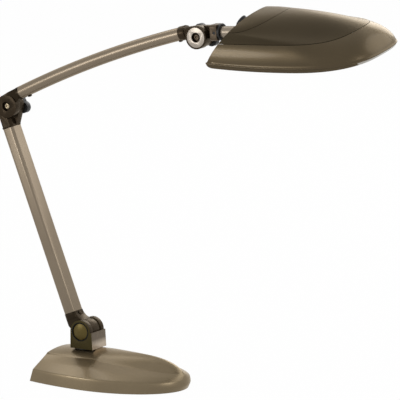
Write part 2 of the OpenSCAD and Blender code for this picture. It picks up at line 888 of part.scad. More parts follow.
module pivot_caps() {
    face = turret_w / 2 - cap_recess;
    dome_r = (cap_d * cap_d / 4 + cap_dome * cap_dome) / (2 * cap_dome);
    color(pewter) translate(P0) for (side = [0, 180])
        rotate([0, 0, side]) intersection() {
            y_cylinder(cap_d / 2, face, face + cap_rim + cap_dome);
            translate([0, face + cap_rim + cap_dome - dome_r, 0]) sphere(dome_r);
        }
}

// Lower arm

module knuckle_side() {
    fillet_x = tube_front + knuckle_fillet;
    fillet_z = sqrt(pow(barrel_r + knuckle_fillet, 2) - fillet_x * fillet_x);
    fillet_top = min(fillet_z, knuckle_neck);
    circle(barrel_r);
    polygon([
        [-barrel_r, 0], [tube_back, knuckle_heel], [tube_back, knuckle_neck], [tube_front, knuckle_neck],
        [tube_front, 0]
    ]);
    difference() {
        polygon([
            [0, 0], [fillet_x, fillet_top], [tube_front - 1, fillet_top], [tube_front - 1, 0]
        ]);
        translate([fillet_x, fillet_z]) circle(knuckle_fillet);
    }
}

module lower_knuckle() {
    color(bronze) lower_frame() difference() {
        union() {
            y_plate(-barrel_half, barrel_half) knuckle_side();
            translate([-tube_offset, 0, knuckle_collar])
                linear_extrude(knuckle_neck - knuckle_collar) tube_oval(0);
            translate([-tube_offset, 0, knuckle_neck - eps])
                linear_extrude(plug_l) tube_oval(-tube_wall - plug_clear);
        }
        y_cylinder(bolt_d / 2 + fit_clear, -turret_w, turret_w);
        translate([-tube_offset, 0, knuckle_neck - wire_inset / 2])
            cylinder(h = plug_l + wire_inset, d = wire_bore);
        translate([-tube_offset, 0, knuckle_screw_z]) {
            x_cylinder(arm_screw_d / 2 + fit_clear, 3, lower_tube_d);
            x_cylinder(arm_screw_head_d / 2 + panel_clear, lower_tube_d / 2, lower_tube_d);
        }
    }
}

module pivot_washers() {
    color(charcoal) translate(P0) for (side = [0, 180])
        rotate([0, 0, side]) y_ring(2 * barrel_r - 2, bolt_d + 2 * fit_clear, barrel_half, washer_y);
}

module lower_tube() {
    color(pewter) lower_tube_frame() translate([0, 0, knuckle_neck])
        linear_extrude(lower_top - knuckle_neck) difference() {
            tube_oval(0);
            tube_oval(-tube_wall);
        }
}

module lower_lap_side() {
    translate([0, lower_len]) circle(lap_r);
    polygon([
        [tube_back, lower_top + eps], [tube_front, lower_top + eps], [lap_r * 0.8, lower_len - lap_r * 0.6],
        [0, lower_len], [-lap_r, lower_len]
    ]);
}

module lower_elbow_fitting() {
    near_top = lower_len - max(drum_r, knob_r) - sweep_clear;
    color(bronze) lower_frame() difference() {
        union() {
            translate([-tube_offset, 0, lower_top - plug_l])
                linear_extrude(plug_l + eps) tube_oval(-tube_wall - plug_clear);
            translate([-tube_offset, 0, lower_top]) linear_extrude(rib_h) tube_oval(rib_out);
            translate([-tube_offset, 0, lower_top]) linear_extrude(near_top - lower_top) tube_oval(0);
            y_plate(lap_near, lap_far) lower_lap_side();
            intersection() {
                translate([-tube_offset, 0, lower_top])
                    linear_extrude(elbow_gap - shoulder_drop) tube_oval(0);
                y_plate(-lower_tube_w, lap_near + 1) difference() {
                    translate([-lower_tube_w, lower_top]) square([2 * lower_tube_w, elbow_gap]);
                    translate([0, lower_len]) circle(drum_r + sweep_clear);
                }
            }
        }
        translate([0, 0, lower_len]) y_cylinder(bolt_d / 2 + fit_clear, -drum_out, drum_out);
        translate([-tube_offset, 0, lower_top - plug_l - 1])
            cylinder(h = plug_l + wire_inset / 2 + 1, d = wire_bore);
        translate([-tube_offset, 0, elbow_screw_z])
            rotate([0, 180, 0]) x_cylinder(arm_screw_d / 2 + fit_clear, 3, lower_tube_d);
    }
}

module lower_arm_screw() {
    pan_screw(arm_screw_d, arm_screw_head_d, arm_screw_head_h, arm_screw_depth - 0.5);
}

module lower_arm_screws() {
    color(charcoal) lower_tube_frame() {
        translate([lower_tube_d / 2, 0, knuckle_screw_z]) rotate([0, 90, 0]) lower_arm_screw();
        translate([-lower_tube_d / 2, 0, elbow_screw_z]) rotate([0, -90, 0]) lower_arm_screw();
    }
}

module lower_wire() {
    color(charcoal) lower_tube_frame() translate([0, 0, knuckle_neck + wire_inset])
        cylinder(h = lower_top - knuckle_neck - 2 * wire_inset, d = wire_d);
}

// Upper arm

module arm_screw_hole() {
    at_tube_end() translate([arm_screw_in, 0, -tube_r - 2])
        cylinder(h = arm_screw_depth + 2, d = arm_screw_d + 2 * fit_clear);
}

// Cheek, neck and plug at either end of the upper arm, hinge at the origin, arm along +x.
module arm_fitting(sleeve) {
    shoulder = drum_r * 0.6;
    neck_x = tube_gap - fitting_collar / 2;
    neck_half_z = tube_r * 0.85;
    difference() {
        union() {
            y_cylinder(drum_r, -drum_out, -drum_in);
            intersection() {
                translate([0, 0, -drum_r]) linear_extrude(2 * drum_r + tube_offset + tube_r)
                    polygon([
                        [0, -drum_out], [shoulder, -drum_out], [neck_x, -tube_r * 0.9],
                        [neck_x, -drum_in], [0, -drum_in]
                    ]);
                y_plate(-drum_out, -drum_in)
                    polygon([
                        [0, -drum_r + eps], [0, drum_r - eps], [neck_x, tube_offset + neck_half_z],
                        [neck_x, tube_offset - neck_half_z]
                    ]);
            }
            at_tube_end() {
                x_cylinder(tube_r, -fitting_collar, 0);
                x_cylinder(tube_r - tube_wall - plug_clear, -eps, plug_l);
                if (sleeve)
                    difference() {
                        x_cylinder(tube_r + plug_clear + sleeve_t, -fitting_collar / 2, sleeve_l);
                        x_cylinder(tube_r + plug_clear, 0, sleeve_l + 1);
                    }
            }
        }
        y_cylinder(bolt_d / 2 + fit_clear, -2 * drum_out, drum_out);
        y_cylinder(counterbore_d / 2, -2 * drum_out, head_seat);
        if (sleeve)
            y_cylinder(disc_d / 2 + panel_clear / 2, -2 * drum_out, -drum_out + disc_recess);
        at_tube_end() x_cylinder(wire_bore / 2, 0, plug_l + 1);
        arm_screw_hole();
    }
}

module tube_arc(trim) {
    half = arc_half - trim / arc_r * 180 / PI;
    translate([upper_len / 2, 0, tube_offset + upper_tube_sag - arc_r]) rotate([90, 0, 0])
        rotate([0, 0, 90 - half]) rotate_extrude(angle = 2 * half) translate([arc_r, 0]) children();
}

module other_end() { translate([upper_len, 0, 0]) mirror([1, 0, 0]) children(); }

module upper_elbow_fitting() { color(bronze) upper_frame() arm_fitting(false); }

module upper_head_fitting() { color(bronze) upper_frame() other_end() arm_fitting(true); }

module upper_tube() {
    color(pewter) upper_frame() difference() {
        tube_arc(0) difference() {
            circle(tube_r);
            circle(tube_r - tube_wall);
        }
        arm_screw_hole();
        other_end() arm_screw_hole();
    }
}

module tube_screw() {
    at_tube_end() translate([arm_screw_in, 0, -tube_r - face_clear]) rotate([180, 0, 0])
        pan_screw(arm_screw_d, arm_screw_head_d, arm_screw_head_h, arm_screw_depth - 0.5);
}

module tube_screws() {
    color(charcoal) upper_frame() {
        tube_screw();
        other_end() tube_screw();
    }
}

module upper_wire() { color(charcoal) upper_frame() tube_arc(wire_inset) circle(d = wire_d); }

module joint_bolt() {
    color(steel) {
        y_cylinder(joint_bolt_head_d / 2, head_seat - joint_bolt_head_h, head_seat);
        y_cylinder(bolt_d / 2, head_seat - eps, bolt_far);
    }
}

module joint_washer() {
    color(charcoal) y_ring(2 * lap_r - 2, bolt_d + 2 * fit_clear, -drum_in, -drum_in + washer_t);
}

module elbow_bolt() { upper_frame() joint_bolt(); }

module elbow_washer() { upper_frame() joint_washer(); }

module head_bolt() { head_end() joint_bolt(); }

module head_washer() { head_end() joint_washer(); }

module joint_disc() {
    disc_back = -drum_out + disc_recess;
    color(satin) head_end() y_ring(disc_d, counterbore_d, disc_back - disc_t, disc_back);
}

// Tension knobs

module knob_outline() {
    circle(knob_core_r);
    for (i = [0 : knob_lobes - 1])
        rotate(360 / knob_lobes * i) translate([knob_r - knob_lobe_r, 0]) circle(knob_lobe_r);
}

module tension_knob(turn) {
    color(charcoal) difference() {
        union() {
            y_plate(knob_near + knob_spring_t, knob_far - knob_cap) rotate(turn) knob_outline();
            y_cylinder(insert_af * 0.85, knob_near, knob_near + 2);
            y_cylinder(knob_r * 0.55, knob_far - knob_cap - eps, knob_far);
        }
        y_cylinder(bolt_d / 2 + fit_clear, 0, bolt_far + 1);
        y_hexagon(insert_af + 2 * fit_clear, knob_near + 1, knob_near + 1 + insert_l);
        y_cylinder(insert_af / 2, 0, knob_near + 1 + eps);
    }
}

module knob_insert() {
    color(brass) difference() {
        y_hexagon(insert_af, knob_near + 1, knob_near + 1 + insert_l);
        y_cylinder(bolt_d / 2 + fit_clear, 0, bolt_far + 10);
    }
}

module knob_spring() {
    color(steel) y_ring(2 * bolt_d + 6, bolt_d + 2 * fit_clear, knob_spring_near, knob_near);
}

module elbow_knob() { upper_frame() tension_knob(elbow_knob_turn); }

module elbow_knob_insert() { upper_frame() knob_insert(); }

module elbow_spring_washer() { upper_frame() knob_spring(); }

module head_knob() { head_end() tension_knob(head_knob_turn); }

module head_knob_insert() { head_end() knob_insert(); }

module head_spring_washer() { head_end() knob_spring(); }

// Neck

module neck_bracket() {
    color(bronze) difference() {
        union() {
            head_frame() y_cylinder(lap_r, lap_near, lap_far);
            neck_frame() box([0, neck_start + 1], [lap_near, lap_far], [-neck_half * 0.8, neck_half * 0.8]);
            neck_frame() translate([neck_start, 0, 0]) rotate([0, 90, 0]) linear_extrude(neck_l - neck_start)
                oval(neck_size, neck_size, 5);
        }
        head_frame() y_cylinder(bolt_d / 2 + fit_clear, -2 * drum_out, 2 * drum_out);
        neck_frame() {
            x_cylinder(neck_tube_d / 2 + fit_clear, neck_tube_start, neck_l + 1);
            translate([set_screw_x, 0, 0]) y_cylinder(set_screw_d / 2 + fit_clear, -neck_size, 0);
        }
    }
}

module neck_collar() {
    color(charcoal) neck_frame() difference() {
        x_cylinder(collar_d / 2, neck_l, neck_l + collar_l);
        x_cylinder(neck_tube_d / 2 + fit_clear, neck_l - 1, neck_l + collar_l + 1);
    }
}

module neck_tube() {
    color(satin) roll_frame() difference() {
        x_cylinder(neck_tube_d / 2, neck_tube_start + face_clear, neck_tube_end);
        x_cylinder(neck_tube_d / 2 - neck_tube_wall, neck_tube_start - 1, neck_tube_end + 1);
    }
}

module neck_set_screw() {
    tip = -neck_tube_d / 2 - 0.3;
    color(steel) neck_frame() translate([set_screw_x, 0, 0])
        y_cylinder(set_screw_d / 2, -neck_half + 0.4, tip);
}

module neck_wire() {
    low = -neck_tube_d / 2 + neck_tube_wall + wire_d / 2 + face_clear;
    color(charcoal) roll_frame() translate([0, 0, low])
        x_cylinder(wire_d / 2, neck_tube_start + 2, neck_tube_end + 8);
}

// Head

module head_shell(outer, inner, zipped) {
    shell_frame() loft_shell(
        [for (v = outer) outline(v, head_points)],
        [for (v = inner) outline(v, head_points)],
        zipped
    );
}

module lens_bezel() { color(pewter) head_shell(bezel_levels(0), bezel_levels(head_wall), false); }

module shade() { color(pewter) head_shell(shade_levels(0), shade_levels(head_wall), false); }

module shade_panel() { color(pewter) head_shell(panel_levels(0), panel_levels(head_wall), false); }

module rear_cap() { color(pewter) head_shell(cap_levels(0), cap_levels(head_wall), true); }

function rear_print() =
    let (half = head_back_half - head_wall - panel_clear, high = head_back_h - head_wall - panel_clear)
    [
        for (i = [0 : rear_points])
            let (a = 180 * i / rear_points, z = high * pow(sin(a), 2 / side_power))
            [half * sign(cos(a)) * pow(abs(cos(a)), 2 / side_power), max(z, rear_foot_top) * rake_len]
    ];

module rear_wall() {
    foot_x = rear_inset + head_rake * rear_foot_top;
    color(bronze) difference() {
        union() {
            rear_face() translate([0, 0, -sheet_t]) linear_extrude(sheet_t) polygon(rear_print());
            shell_frame() box(
                [foot_x, foot_x + sheet_t], [-rear_foot_half, rear_foot_half],
                [rear_foot_low, rear_foot_top + sheet_t / 2]
            );
        }
        roll_frame() x_cylinder(neck_tube_d / 2 + panel_clear, 0, neck_tube_end);
        at_dimmer() cylinder(h = 4 * sheet_t, d = dimmer_bush_d + 2 * fit_clear, center = true);
    }
}

module clamp_screw_places() {
    for (y = [-1, 1])
        translate([clamp_x + clamp_l / 2, y * (neck_tube_d / 2 + clamp_t + clamp_foot / 2), chassis_top])
            children();
}

module head_chassis() {
    color(steel) roll_frame() difference() {
        box([chassis_back, chassis_front], [-chassis_half, chassis_half], [chassis_low, chassis_top]);
        clamp_screw_places() cylinder(h = screw_hole_h, d = screw_d + 2 * fit_clear, center = true);
    }
}

module neck_clamp() {
    outer_r = neck_tube_d / 2 + clamp_t;
    color(steel) roll_frame() difference() {
        translate([clamp_x, 0, 0]) rotate([90, 0, 90]) linear_extrude(clamp_l) difference() {
            union() {
                circle(outer_r);
                translate([-outer_r - clamp_foot, chassis_top]) square([2 * (outer_r + clamp_foot), clamp_t]);
            }
            circle(neck_tube_d / 2 + fit_clear);
            translate([-2 * outer_r, chassis_top - 2 * outer_r]) square([4 * outer_r, 2 * outer_r]);
        }
        clamp_screw_places() cylinder(h = screw_hole_h, d = screw_d + 2 * fit_clear, center = true);
    }
}

module clamp_screws() {
    color(steel) roll_frame() clamp_screw_places() translate([0, 0, clamp_t])
        pan_screw(screw_d, screw_head_d - 1, screw_head_h, clamp_t + sheet_t);
}

module shade_posts() {
    color(charcoal) roll_frame() for (x = post_x)
        translate([x, 0, chassis_top])
            cylinder(
                h = crown_inside(x + shade_post_d / 2 - head_gap) - neck_rise - chassis_top - post_clear,
                d = shade_post_d
            );
}

module reflector() {
    mouth = chassis_low - reflector_drop;
    slope = reflector_t * reflector_skew;
    color(opal) roll_frame() translate([reflector_back, 0, 0]) rotate([90, 0, 90])
        linear_extrude(reflector_front - reflector_back) polygon([
            [-reflector_half, mouth], [-reflector_top_half, chassis_low],
            [reflector_top_half, chassis_low], [reflector_half, mouth],
            [reflector_half - slope, mouth], [reflector_top_half - slope / 2, chassis_low - reflector_t],
            [-reflector_top_half + slope / 2, chassis_low - reflector_t], [-reflector_half + slope, mouth]
        ]);
}

module pin_places() {
    for (y = [-1, 1], side = [-1, 1])
        translate([cap_x, y * lamp_pitch / 2 + side * 4, lamp_z]) children();
}

module lamp_holder() {
    color(opal) roll_frame() difference() {
        box([holder_x, cap_x], [-holder_w / 2, holder_w / 2], [chassis_low - holder_h, chassis_low]);
        pin_places() x_cylinder(pin_d / 2 + fit_clear, -pin_l - 1, 1);
    }
}

module lamp_cap() {
    color(opal) roll_frame() {
        translate([cap_x, 0, lamp_z]) rotate([0, 90, 0]) linear_extrude(cap_l) oval(cap_h, cap_w, 5);
        pin_places() x_cylinder(pin_d / 2, -pin_l, eps);
    }
}

module lamp_tubes() {
    bend = lamp_d / 2;
    bridge_x = lamp_x + lamp_len - 2 * bend;
    color(opal) roll_frame() translate([0, 0, lamp_z]) {
        for (y = [-1, 1])
            translate([0, y * lamp_pitch / 2, 0]) {
                x_cylinder(lamp_d / 2, lamp_x, lamp_x + lamp_len - bend);
                translate([lamp_x + lamp_len - bend, 0, 0]) sphere(bend);
            }
        translate([bridge_x, 0, 0]) y_cylinder(lamp_d / 4, -lamp_pitch / 2, lamp_pitch / 2);
    }
}

// The diffuser spans the bezel from side to side and bellies down between.
function diffuser_row(q, lift) =
    let (
        p = outline_point(bezel_foot(head_wall + panel_clear), q),
        belly = diffuser_belly * sqrt(p[1] / head_half) * (1 - pow(q, 4))
    )
    [
        for (i = [0 : diffuser_columns])
            let (v = 2 * i / diffuser_columns - 1)
            [p[0], p[1] * v, p[2] + diffuser_lift + lift - belly * (1 - v * v)]
    ];

function diffuser_rows(lift) =
    [for (i = [0 : diffuser_stations]) diffuser_row(mix(1, diffuser_tip, i / diffuser_stations), lift)];

module diffuser() {
    color(opal) shell_frame() loft_shell(diffuser_rows(diffuser_t), diffuser_rows(0), false);
}

// Dimmer

module dimmer() {
    color(charcoal) at_dimmer() {
        translate([-dimmer_body / 2, -dimmer_body / 2, -sheet_t - dimmer_body_h])
            cube([dimmer_body, dimmer_body, dimmer_body_h]);
        translate([0, 0, -sheet_t - eps]) cylinder(h = sheet_t + dimmer_nut_h + eps, d = dimmer_bush_d);
        cylinder(h = dimmer_nut_h + dimmer_h - 2, d = dimmer_shaft_d);
    }
}

module dimmer_nut() {
    color(steel) at_dimmer() ring(dimmer_nut_d, dimmer_bush_d + 2 * fit_clear, dimmer_nut_h);
}

module dimmer_knob() {
    low = dimmer_nut_h + dimmer_knob_gap;
    color(charcoal) at_dimmer() difference() {
        union() {
            translate([0, 0, low]) cylinder(h = dimmer_h - 1, d = dimmer_d);
            translate([0, 0, low + dimmer_h - 1 - eps]) cylinder(h = 1, d1 = dimmer_d, d2 = dimmer_d - 2);
        }
        cylinder(h = dimmer_nut_h + dimmer_h - 1.5, d = dimmer_shaft_d + 2 * fit_clear);
        translate([-0.6, dimmer_d / 4, low + dimmer_h - 0.6]) cube([1.2, dimmer_d / 4, 1]);
    }
}

non_slip_pad();
base_plate();
base_weight();
ballast();
base_screws();
base_shell();
base_rear_panel();
cord_inlet();
swivel_bush();
turret_housing();
swivel_post();
swivel_spring_washer();
swivel_nut();
pivot_bolt();
pivot_nut();
pivot_caps();
lower_knuckle();
pivot_washers();
lower_tube();
lower_elbow_fitting();
lower_arm_screws();
lower_wire();
upper_elbow_fitting();
upper_tube();
upper_head_fitting();
tube_screws();
upper_wire();
elbow_bolt();
elbow_washer();
head_bolt();
head_washer();
joint_disc();
elbow_knob();
elbow_knob_insert();
elbow_spring_washer();
head_knob();
head_knob_insert();
head_spring_washer();
neck_bracket();
neck_collar();
neck_tube();
neck_set_screw();
neck_wire();
shade();
shade_panel();
rear_cap();
rear_wall();
head_chassis();
neck_clamp();
clamp_screws();
shade_posts();
reflector();
lamp_holder();
lamp_cap();
lamp_tubes();
lens_bezel();
diffuser();
dimmer();
dimmer_nut();
dimmer_knob();
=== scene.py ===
"""Desk lamp: pewter shells, bronze castings and dark knobs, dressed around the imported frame."""

import json
import logging
import math
from dataclasses import dataclass
from enum import Enum
from typing import Any, Callable, NamedTuple, Sequence, Union

import bmesh
import bpy
import numpy as np
from mathutils import Matrix, Vector


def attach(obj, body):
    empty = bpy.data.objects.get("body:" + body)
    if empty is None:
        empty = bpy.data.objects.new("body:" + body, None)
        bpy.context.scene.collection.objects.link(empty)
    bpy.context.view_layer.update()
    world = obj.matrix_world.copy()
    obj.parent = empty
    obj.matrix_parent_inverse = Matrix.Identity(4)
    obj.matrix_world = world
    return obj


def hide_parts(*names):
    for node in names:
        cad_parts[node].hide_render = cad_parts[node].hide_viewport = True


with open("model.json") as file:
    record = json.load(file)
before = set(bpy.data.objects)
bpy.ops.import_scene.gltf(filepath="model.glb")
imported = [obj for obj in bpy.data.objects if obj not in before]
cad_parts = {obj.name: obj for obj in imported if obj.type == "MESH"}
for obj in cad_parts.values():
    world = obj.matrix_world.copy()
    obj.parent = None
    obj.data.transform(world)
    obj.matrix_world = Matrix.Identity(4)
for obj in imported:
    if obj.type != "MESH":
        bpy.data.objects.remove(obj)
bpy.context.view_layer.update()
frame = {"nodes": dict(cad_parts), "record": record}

LOG = logging.getLogger("desk_lamp")
MM = 0.001
Rgb = tuple[float, float, float]
Point = tuple[float, float, float]
SLOTS = {row["node"]: row["material_slot"] for row in frame["record"]["subparts"]}


class Kind(Enum):
    """What a shader socket carries."""

    VALUE = "value"
    COLOUR = "colour"
    VECTOR = "vector"


class Texture(Enum):
    """The fine structure that a finish shows up close."""

    FLAKE = "flake"
    GRAIN = "grain"
    TURNED = "turned"
    DRAWN = "drawn"
    # Brushed streaks, over painted shade that darkens the surface towards a top edge.
    STREAKS_AND_SHADE = "fall"


class Wave:
    """A shader socket whose operators add the nodes of the expression."""

    def __init__(self, graph: "Graph", socket: bpy.types.NodeSocket, kind: Kind = Kind.VALUE) -> None:
        """Wrap a socket.

        Args:
            graph: where the nodes go.
            socket: the output that is wrapped.
            kind: what it carries.
        """
        self.graph = graph
        self.socket = socket
        self.kind = kind

    def _math(self, operation: str, first: "Operand", second: "Operand") -> "Wave":
        """Add a Math or Vector Math node.

        Args:
            operation: the node's operation.
            first: left operand.
            second: right operand.

        Returns:
            The node's output.
        """
        if self.kind is Kind.VALUE:
            node = self.graph.node("ShaderNodeMath", {"operation": operation}, {0: first, 1: second})
            return Wave(self.graph, node.outputs[0])
        node = self.graph.node("ShaderNodeVectorMath", {"operation": operation}, {0: first, 1: second})
        return Wave(self.graph, node.outputs[0], Kind.VECTOR)

    def __add__(self, other: "Operand") -> "Wave":
        """Sum."""
        return self._math("ADD", self, other)

    def __radd__(self, other: "Operand") -> "Wave":
        """Reflected sum."""
        return self._math("ADD", other, self)

    def __sub__(self, other: "Operand") -> "Wave":
        """Difference."""
        return self._math("SUBTRACT", self, other)

    def __rsub__(self, other: "Operand") -> "Wave":
        """Reflected difference."""
        return self._math("SUBTRACT", other, self)

    def __mul__(self, other: "Operand") -> "Wave":
        """Product."""
        return self._math("MULTIPLY", self, other)

    def __rmul__(self, other: "Operand") -> "Wave":
        """Reflected product."""
        return self._math("MULTIPLY", other, self)

    def tint(self, low: Rgb, high: Rgb) -> "Wave":
        """Blend two colours by this value.

        Args:
            low: colour where the value is 0.
            high: colour where the value is 1.

        Returns:
            The blended colour.
        """
        node = self.graph.node(
            "ShaderNodeMix",
            {"data_type": "RGBA"},
            {"Factor": self, 6: (*low, 1.0), 7: (*high, 1.0)},
        )
        return Wave(self.graph, node.outputs[2], Kind.COLOUR)


Operand = Union[Wave, float]


class Graph:
    """The node tree of one material."""

    def __init__(self, tree: bpy.types.NodeTree) -> None:
        """Empty the tree and keep it."""
        self.tree = tree
        tree.nodes.clear()

    def node(self, kind: str, settings: dict[str, Any], inputs: dict[Any, Any]) -> bpy.types.Node:
        """Add a node, with its settings before its sockets.

        Args:
            kind: the node's type.
            settings: attributes; a ramp's stops go under "stops".
            inputs: values, waves or sockets by the input's name or index.

        Returns:
            The node.
        """
        node = self.tree.nodes.new(kind)
        for name, value in settings.items():
            if name == "stops":
                ramp = node.color_ramp
                for element, (place, grey) in zip(ramp.elements, value):
                    element.position = place
                    element.color = (grey, grey, grey, 1.0)
            else:
                setattr(node, name, value)
        for key, value in inputs.items():
            socket = node.inputs[key]
            if isinstance(value, Wave):
                self.tree.links.new(value.socket, socket)
            elif isinstance(value, bpy.types.NodeSocket):
                self.tree.links.new(value, socket)
            else:
                socket.default_value = value
        return node

    def place(self, stretch: Point = (1.0, 1.0, 1.0)) -> Wave:
        """Give object coordinates, stretched along each axis."""
        node = self.node("ShaderNodeTexCoord", {}, {})
        return Wave(self, node.outputs["Object"], Kind.VECTOR) * stretch

    def noise(self, scale: float, detail: float, stretch: Point = (1.0, 1.0, 1.0)) -> Wave:
        """Give a noise value.

        Args:
            scale: cells per metre.
            detail: octaves.
            stretch: scale along each axis.

        Returns:
            The noise, about 0 to 1.
        """
        node = self.node(
            "ShaderNodeTexNoise", {}, {"Vector": self.place(stretch), "Scale": scale, "Detail": detail}
        )
        return Wave(self, node.outputs["Fac"])

    def cells(self, scale: float) -> Wave:
        """Give each small cell a value of its own.

        Args:
            scale: cells per metre.

        Returns:
            The value, 0 to 1.
        """
        node = self.node("ShaderNodeTexVoronoi", {}, {"Vector": self.place(), "Scale": scale})
        parts = self.node("ShaderNodeSeparateColor", {}, {0: node.outputs["Color"]})
        return Wave(self, parts.outputs[0])

    def ramp(self, value: Wave, low: float, high: float) -> Wave:
        """Stretch the part of a value between two limits to 0 to 1.

        Args:
            value: what is stretched.
            low: where the result is 0.
            high: where the result is 1.

        Returns:
            The stretched value.
        """
        node = self.node("ShaderNodeValToRGB", {"stops": ((low, 0.0), (high, 1.0))}, {0: value})
        parts = self.node("ShaderNodeSeparateColor", {}, {0: node.outputs[0]})
        return Wave(self, parts.outputs[0])

    def bump(self, height: Wave, strength: float, distance: float) -> bpy.types.NodeSocket:
        """Give a normal that follows a height."""
        node = self.node(
            "ShaderNodeBump", {}, {"Height": height, "Strength": strength, "Distance": distance}
        )
        return node.outputs[0]

    def close(self, surface: bpy.types.NodeSocket) -> None:
        """Link a shader to the material's output."""
        self.node("ShaderNodeOutputMaterial", {}, {"Surface": surface})


# Top edge of the turret's front wall, and the height below it over which painted shade darkens the wall
# towards that edge, metres.
WALL_TOP = 0.0775
WALL_SHADE_FALL = 0.024

# The broad noise: its scale and octaves, the part of it that is used, and its share of the tone.
BROAD_SCALE = 11.0
BROAD_DETAIL = 3.0
BROAD_RANGE = (0.3, 0.7)
BROAD_SHARE = 0.65

# Where a flake finish starts between its two colours, and how much of the way it covers.
FLAKE_START = 0.3
FLAKE_SHARE = 0.4

BUMP_DEPTH = 0.0004
COAT_ROUGHNESS = 0.12

# Octaves and stretch of each texture's fine noise.
GRAINS: dict[Texture, tuple[float, Point]] = {
    Texture.GRAIN: (4.0, (1.0, 1.0, 1.0)),
    Texture.TURNED: (2.0, (1.0, 0.02, 1.0)),
    Texture.DRAWN: (2.0, (0.03, 1.0, 1.0)),
    Texture.STREAKS_AND_SHADE: (3.0, (1.0, 1.0, 0.05)),
}


@dataclass(frozen=True)
class Finish:
    """One surface finish of the lamp.

    Two colours blend over the surface, and the texture sets what roughness and bump follow.
    """

    name: str
    low: Rgb
    high: Rgb
    metallic: float
    roughness: float
    texture: Texture
    spread: float = 0.08
    scale: float = 900.0
    relief: float = 0.1
    coat: float = 0.0
    specular: float = 0.5
    tint: Rgb = (1.0, 1.0, 1.0)

    def pattern(self, graph: Graph) -> tuple[Wave, Wave]:
        """Give the broad and the fine pattern of the texture.

        Args:
            graph: where the nodes go.

        Returns:
            The broad tone, and the fine value for roughness and bump.
        """
        # This texture's broad tone is painted shade: darkest at the wall's top edge, paler lower down.
        if self.texture is Texture.STREAKS_AND_SHADE:
            parts = graph.node("ShaderNodeSeparateXYZ", {}, {0: graph.place()})
            broad = (WALL_TOP - Wave(graph, parts.outputs["Z"])) * (1.0 / WALL_SHADE_FALL)
        else:
            broad = graph.noise(BROAD_SCALE, BROAD_DETAIL)
        if self.texture is Texture.FLAKE:
            return broad, graph.cells(self.scale)
        detail, stretch = GRAINS[self.texture]
        return broad, graph.noise(self.scale, detail, stretch)

    def build(self) -> bpy.types.Material:
        """Make the material.

        Returns:
            A material whose colour, roughness and normal vary over the surface.
        """
        material = bpy.data.materials.new(self.name)
        material.use_nodes = True
        graph = Graph(material.node_tree)
        broad, fine = self.pattern(graph)
        tone = graph.ramp(broad, *BROAD_RANGE) * BROAD_SHARE + fine * (1.0 - BROAD_SHARE)
        if self.texture is Texture.FLAKE:
            tone = tone * FLAKE_SHARE + FLAKE_START
        shader = graph.node(
            "ShaderNodeBsdfPrincipled",
            {},
            {
                "Base Color": tone.tint(self.low, self.high),
                "Metallic": self.metallic,
                "Roughness": (fine - 0.5) * self.spread + self.roughness,
                "Normal": graph.bump(fine, self.relief, BUMP_DEPTH),
                "Coat Weight": self.coat,
                "Coat Roughness": COAT_ROUGHNESS,
                "Specular IOR Level": self.specular,
                "Specular Tint": (*self.tint, 1.0),
            },
        )
        graph.close(shader.outputs[0])
        return material


WARM: Rgb = (1.0, 0.88, 0.72)

PEWTER = Finish(
    "pewter_lacquer", (0.045, 0.032, 0.016), (0.088, 0.065, 0.035), 0.8, 0.34,
    Texture.FLAKE, spread=0.1, scale=1500.0, relief=0.006, coat=0.15, tint=WARM,
)
# A darker copy of the pewter lacquer for the head's upper panels, as painted shade.
SHADED_PANEL = Finish(
    "panel_lacquer_painted_shade", (0.024, 0.017, 0.008), (0.050, 0.037, 0.019), 0.8, 0.36,
    Texture.FLAKE, spread=0.1, scale=1500.0, relief=0.006, coat=0.05, tint=WARM,
)
CHAMPAGNE = Finish(
    "champagne_lacquer", (0.122, 0.092, 0.053), (0.208, 0.162, 0.099), 0.8, 0.34,
    Texture.FLAKE, spread=0.1, scale=1500.0, relief=0.006, coat=0.15, tint=WARM,
)
TUBE = Finish(
    "tube_lacquer", (0.158, 0.124, 0.086), (0.240, 0.194, 0.142), 0.8, 0.34,
    Texture.FLAKE, spread=0.06, scale=1800.0, relief=0.003, coat=0.1, tint=WARM,
)
BRONZE = Finish(
    "bronze_lacquer", (0.012, 0.0085, 0.005), (0.046, 0.032, 0.019), 0.5, 0.32,
    Texture.GRAIN, spread=0.14, scale=700.0, relief=0.14, specular=0.1, tint=WARM,
)
BROWN = Finish(
    "brown_lacquer", (0.060, 0.042, 0.026), (0.115, 0.084, 0.055), 0.4, 0.36,
    Texture.GRAIN, spread=0.14, scale=700.0, relief=0.12, specular=0.3, tint=WARM,
)
CAP = Finish(
    "olive_cap", (0.074, 0.054, 0.015), (0.123, 0.093, 0.029), 0.5, 0.36,
    Texture.FLAKE, spread=0.1, scale=1500.0, relief=0.006, specular=0.2, tint=WARM,
)
CHEEK = Finish(
    "olive_lacquer", (0.033, 0.025, 0.008), (0.061, 0.048, 0.017), 0.4, 0.4,
    Texture.FLAKE, spread=0.1, scale=1500.0, relief=0.006, specular=0.12, tint=WARM,
)
# The turret's brushed front wall; its darker colour is painted shade, laid on towards the wall's top under
# the knuckle's barrel.
WALL = Finish(
    "brushed_wall_painted_shade", (0.045, 0.032, 0.020), (0.560, 0.480, 0.390), 0.6, 0.36,
    Texture.STREAKS_AND_SHADE, spread=0.16, scale=1100.0, relief=0.1, specular=0.2, tint=WARM,
)
BLACK = Finish(
    "black_moulding", (0.006, 0.006, 0.006), (0.018, 0.016, 0.015), 0.0, 0.42,
    Texture.GRAIN, spread=0.12, scale=1800.0, relief=0.18, specular=0.3,
)
SATIN = Finish(
    "satin_turned", (0.220, 0.190, 0.155), (0.380, 0.335, 0.285), 0.85, 0.34,
    Texture.TURNED, spread=0.16, scale=900.0, relief=0.06,
)
GILT = Finish(
    "gilt_bolt", (0.260, 0.205, 0.128), (0.420, 0.345, 0.235), 0.85, 0.32,
    Texture.TURNED, spread=0.14, scale=900.0, relief=0.05,
)
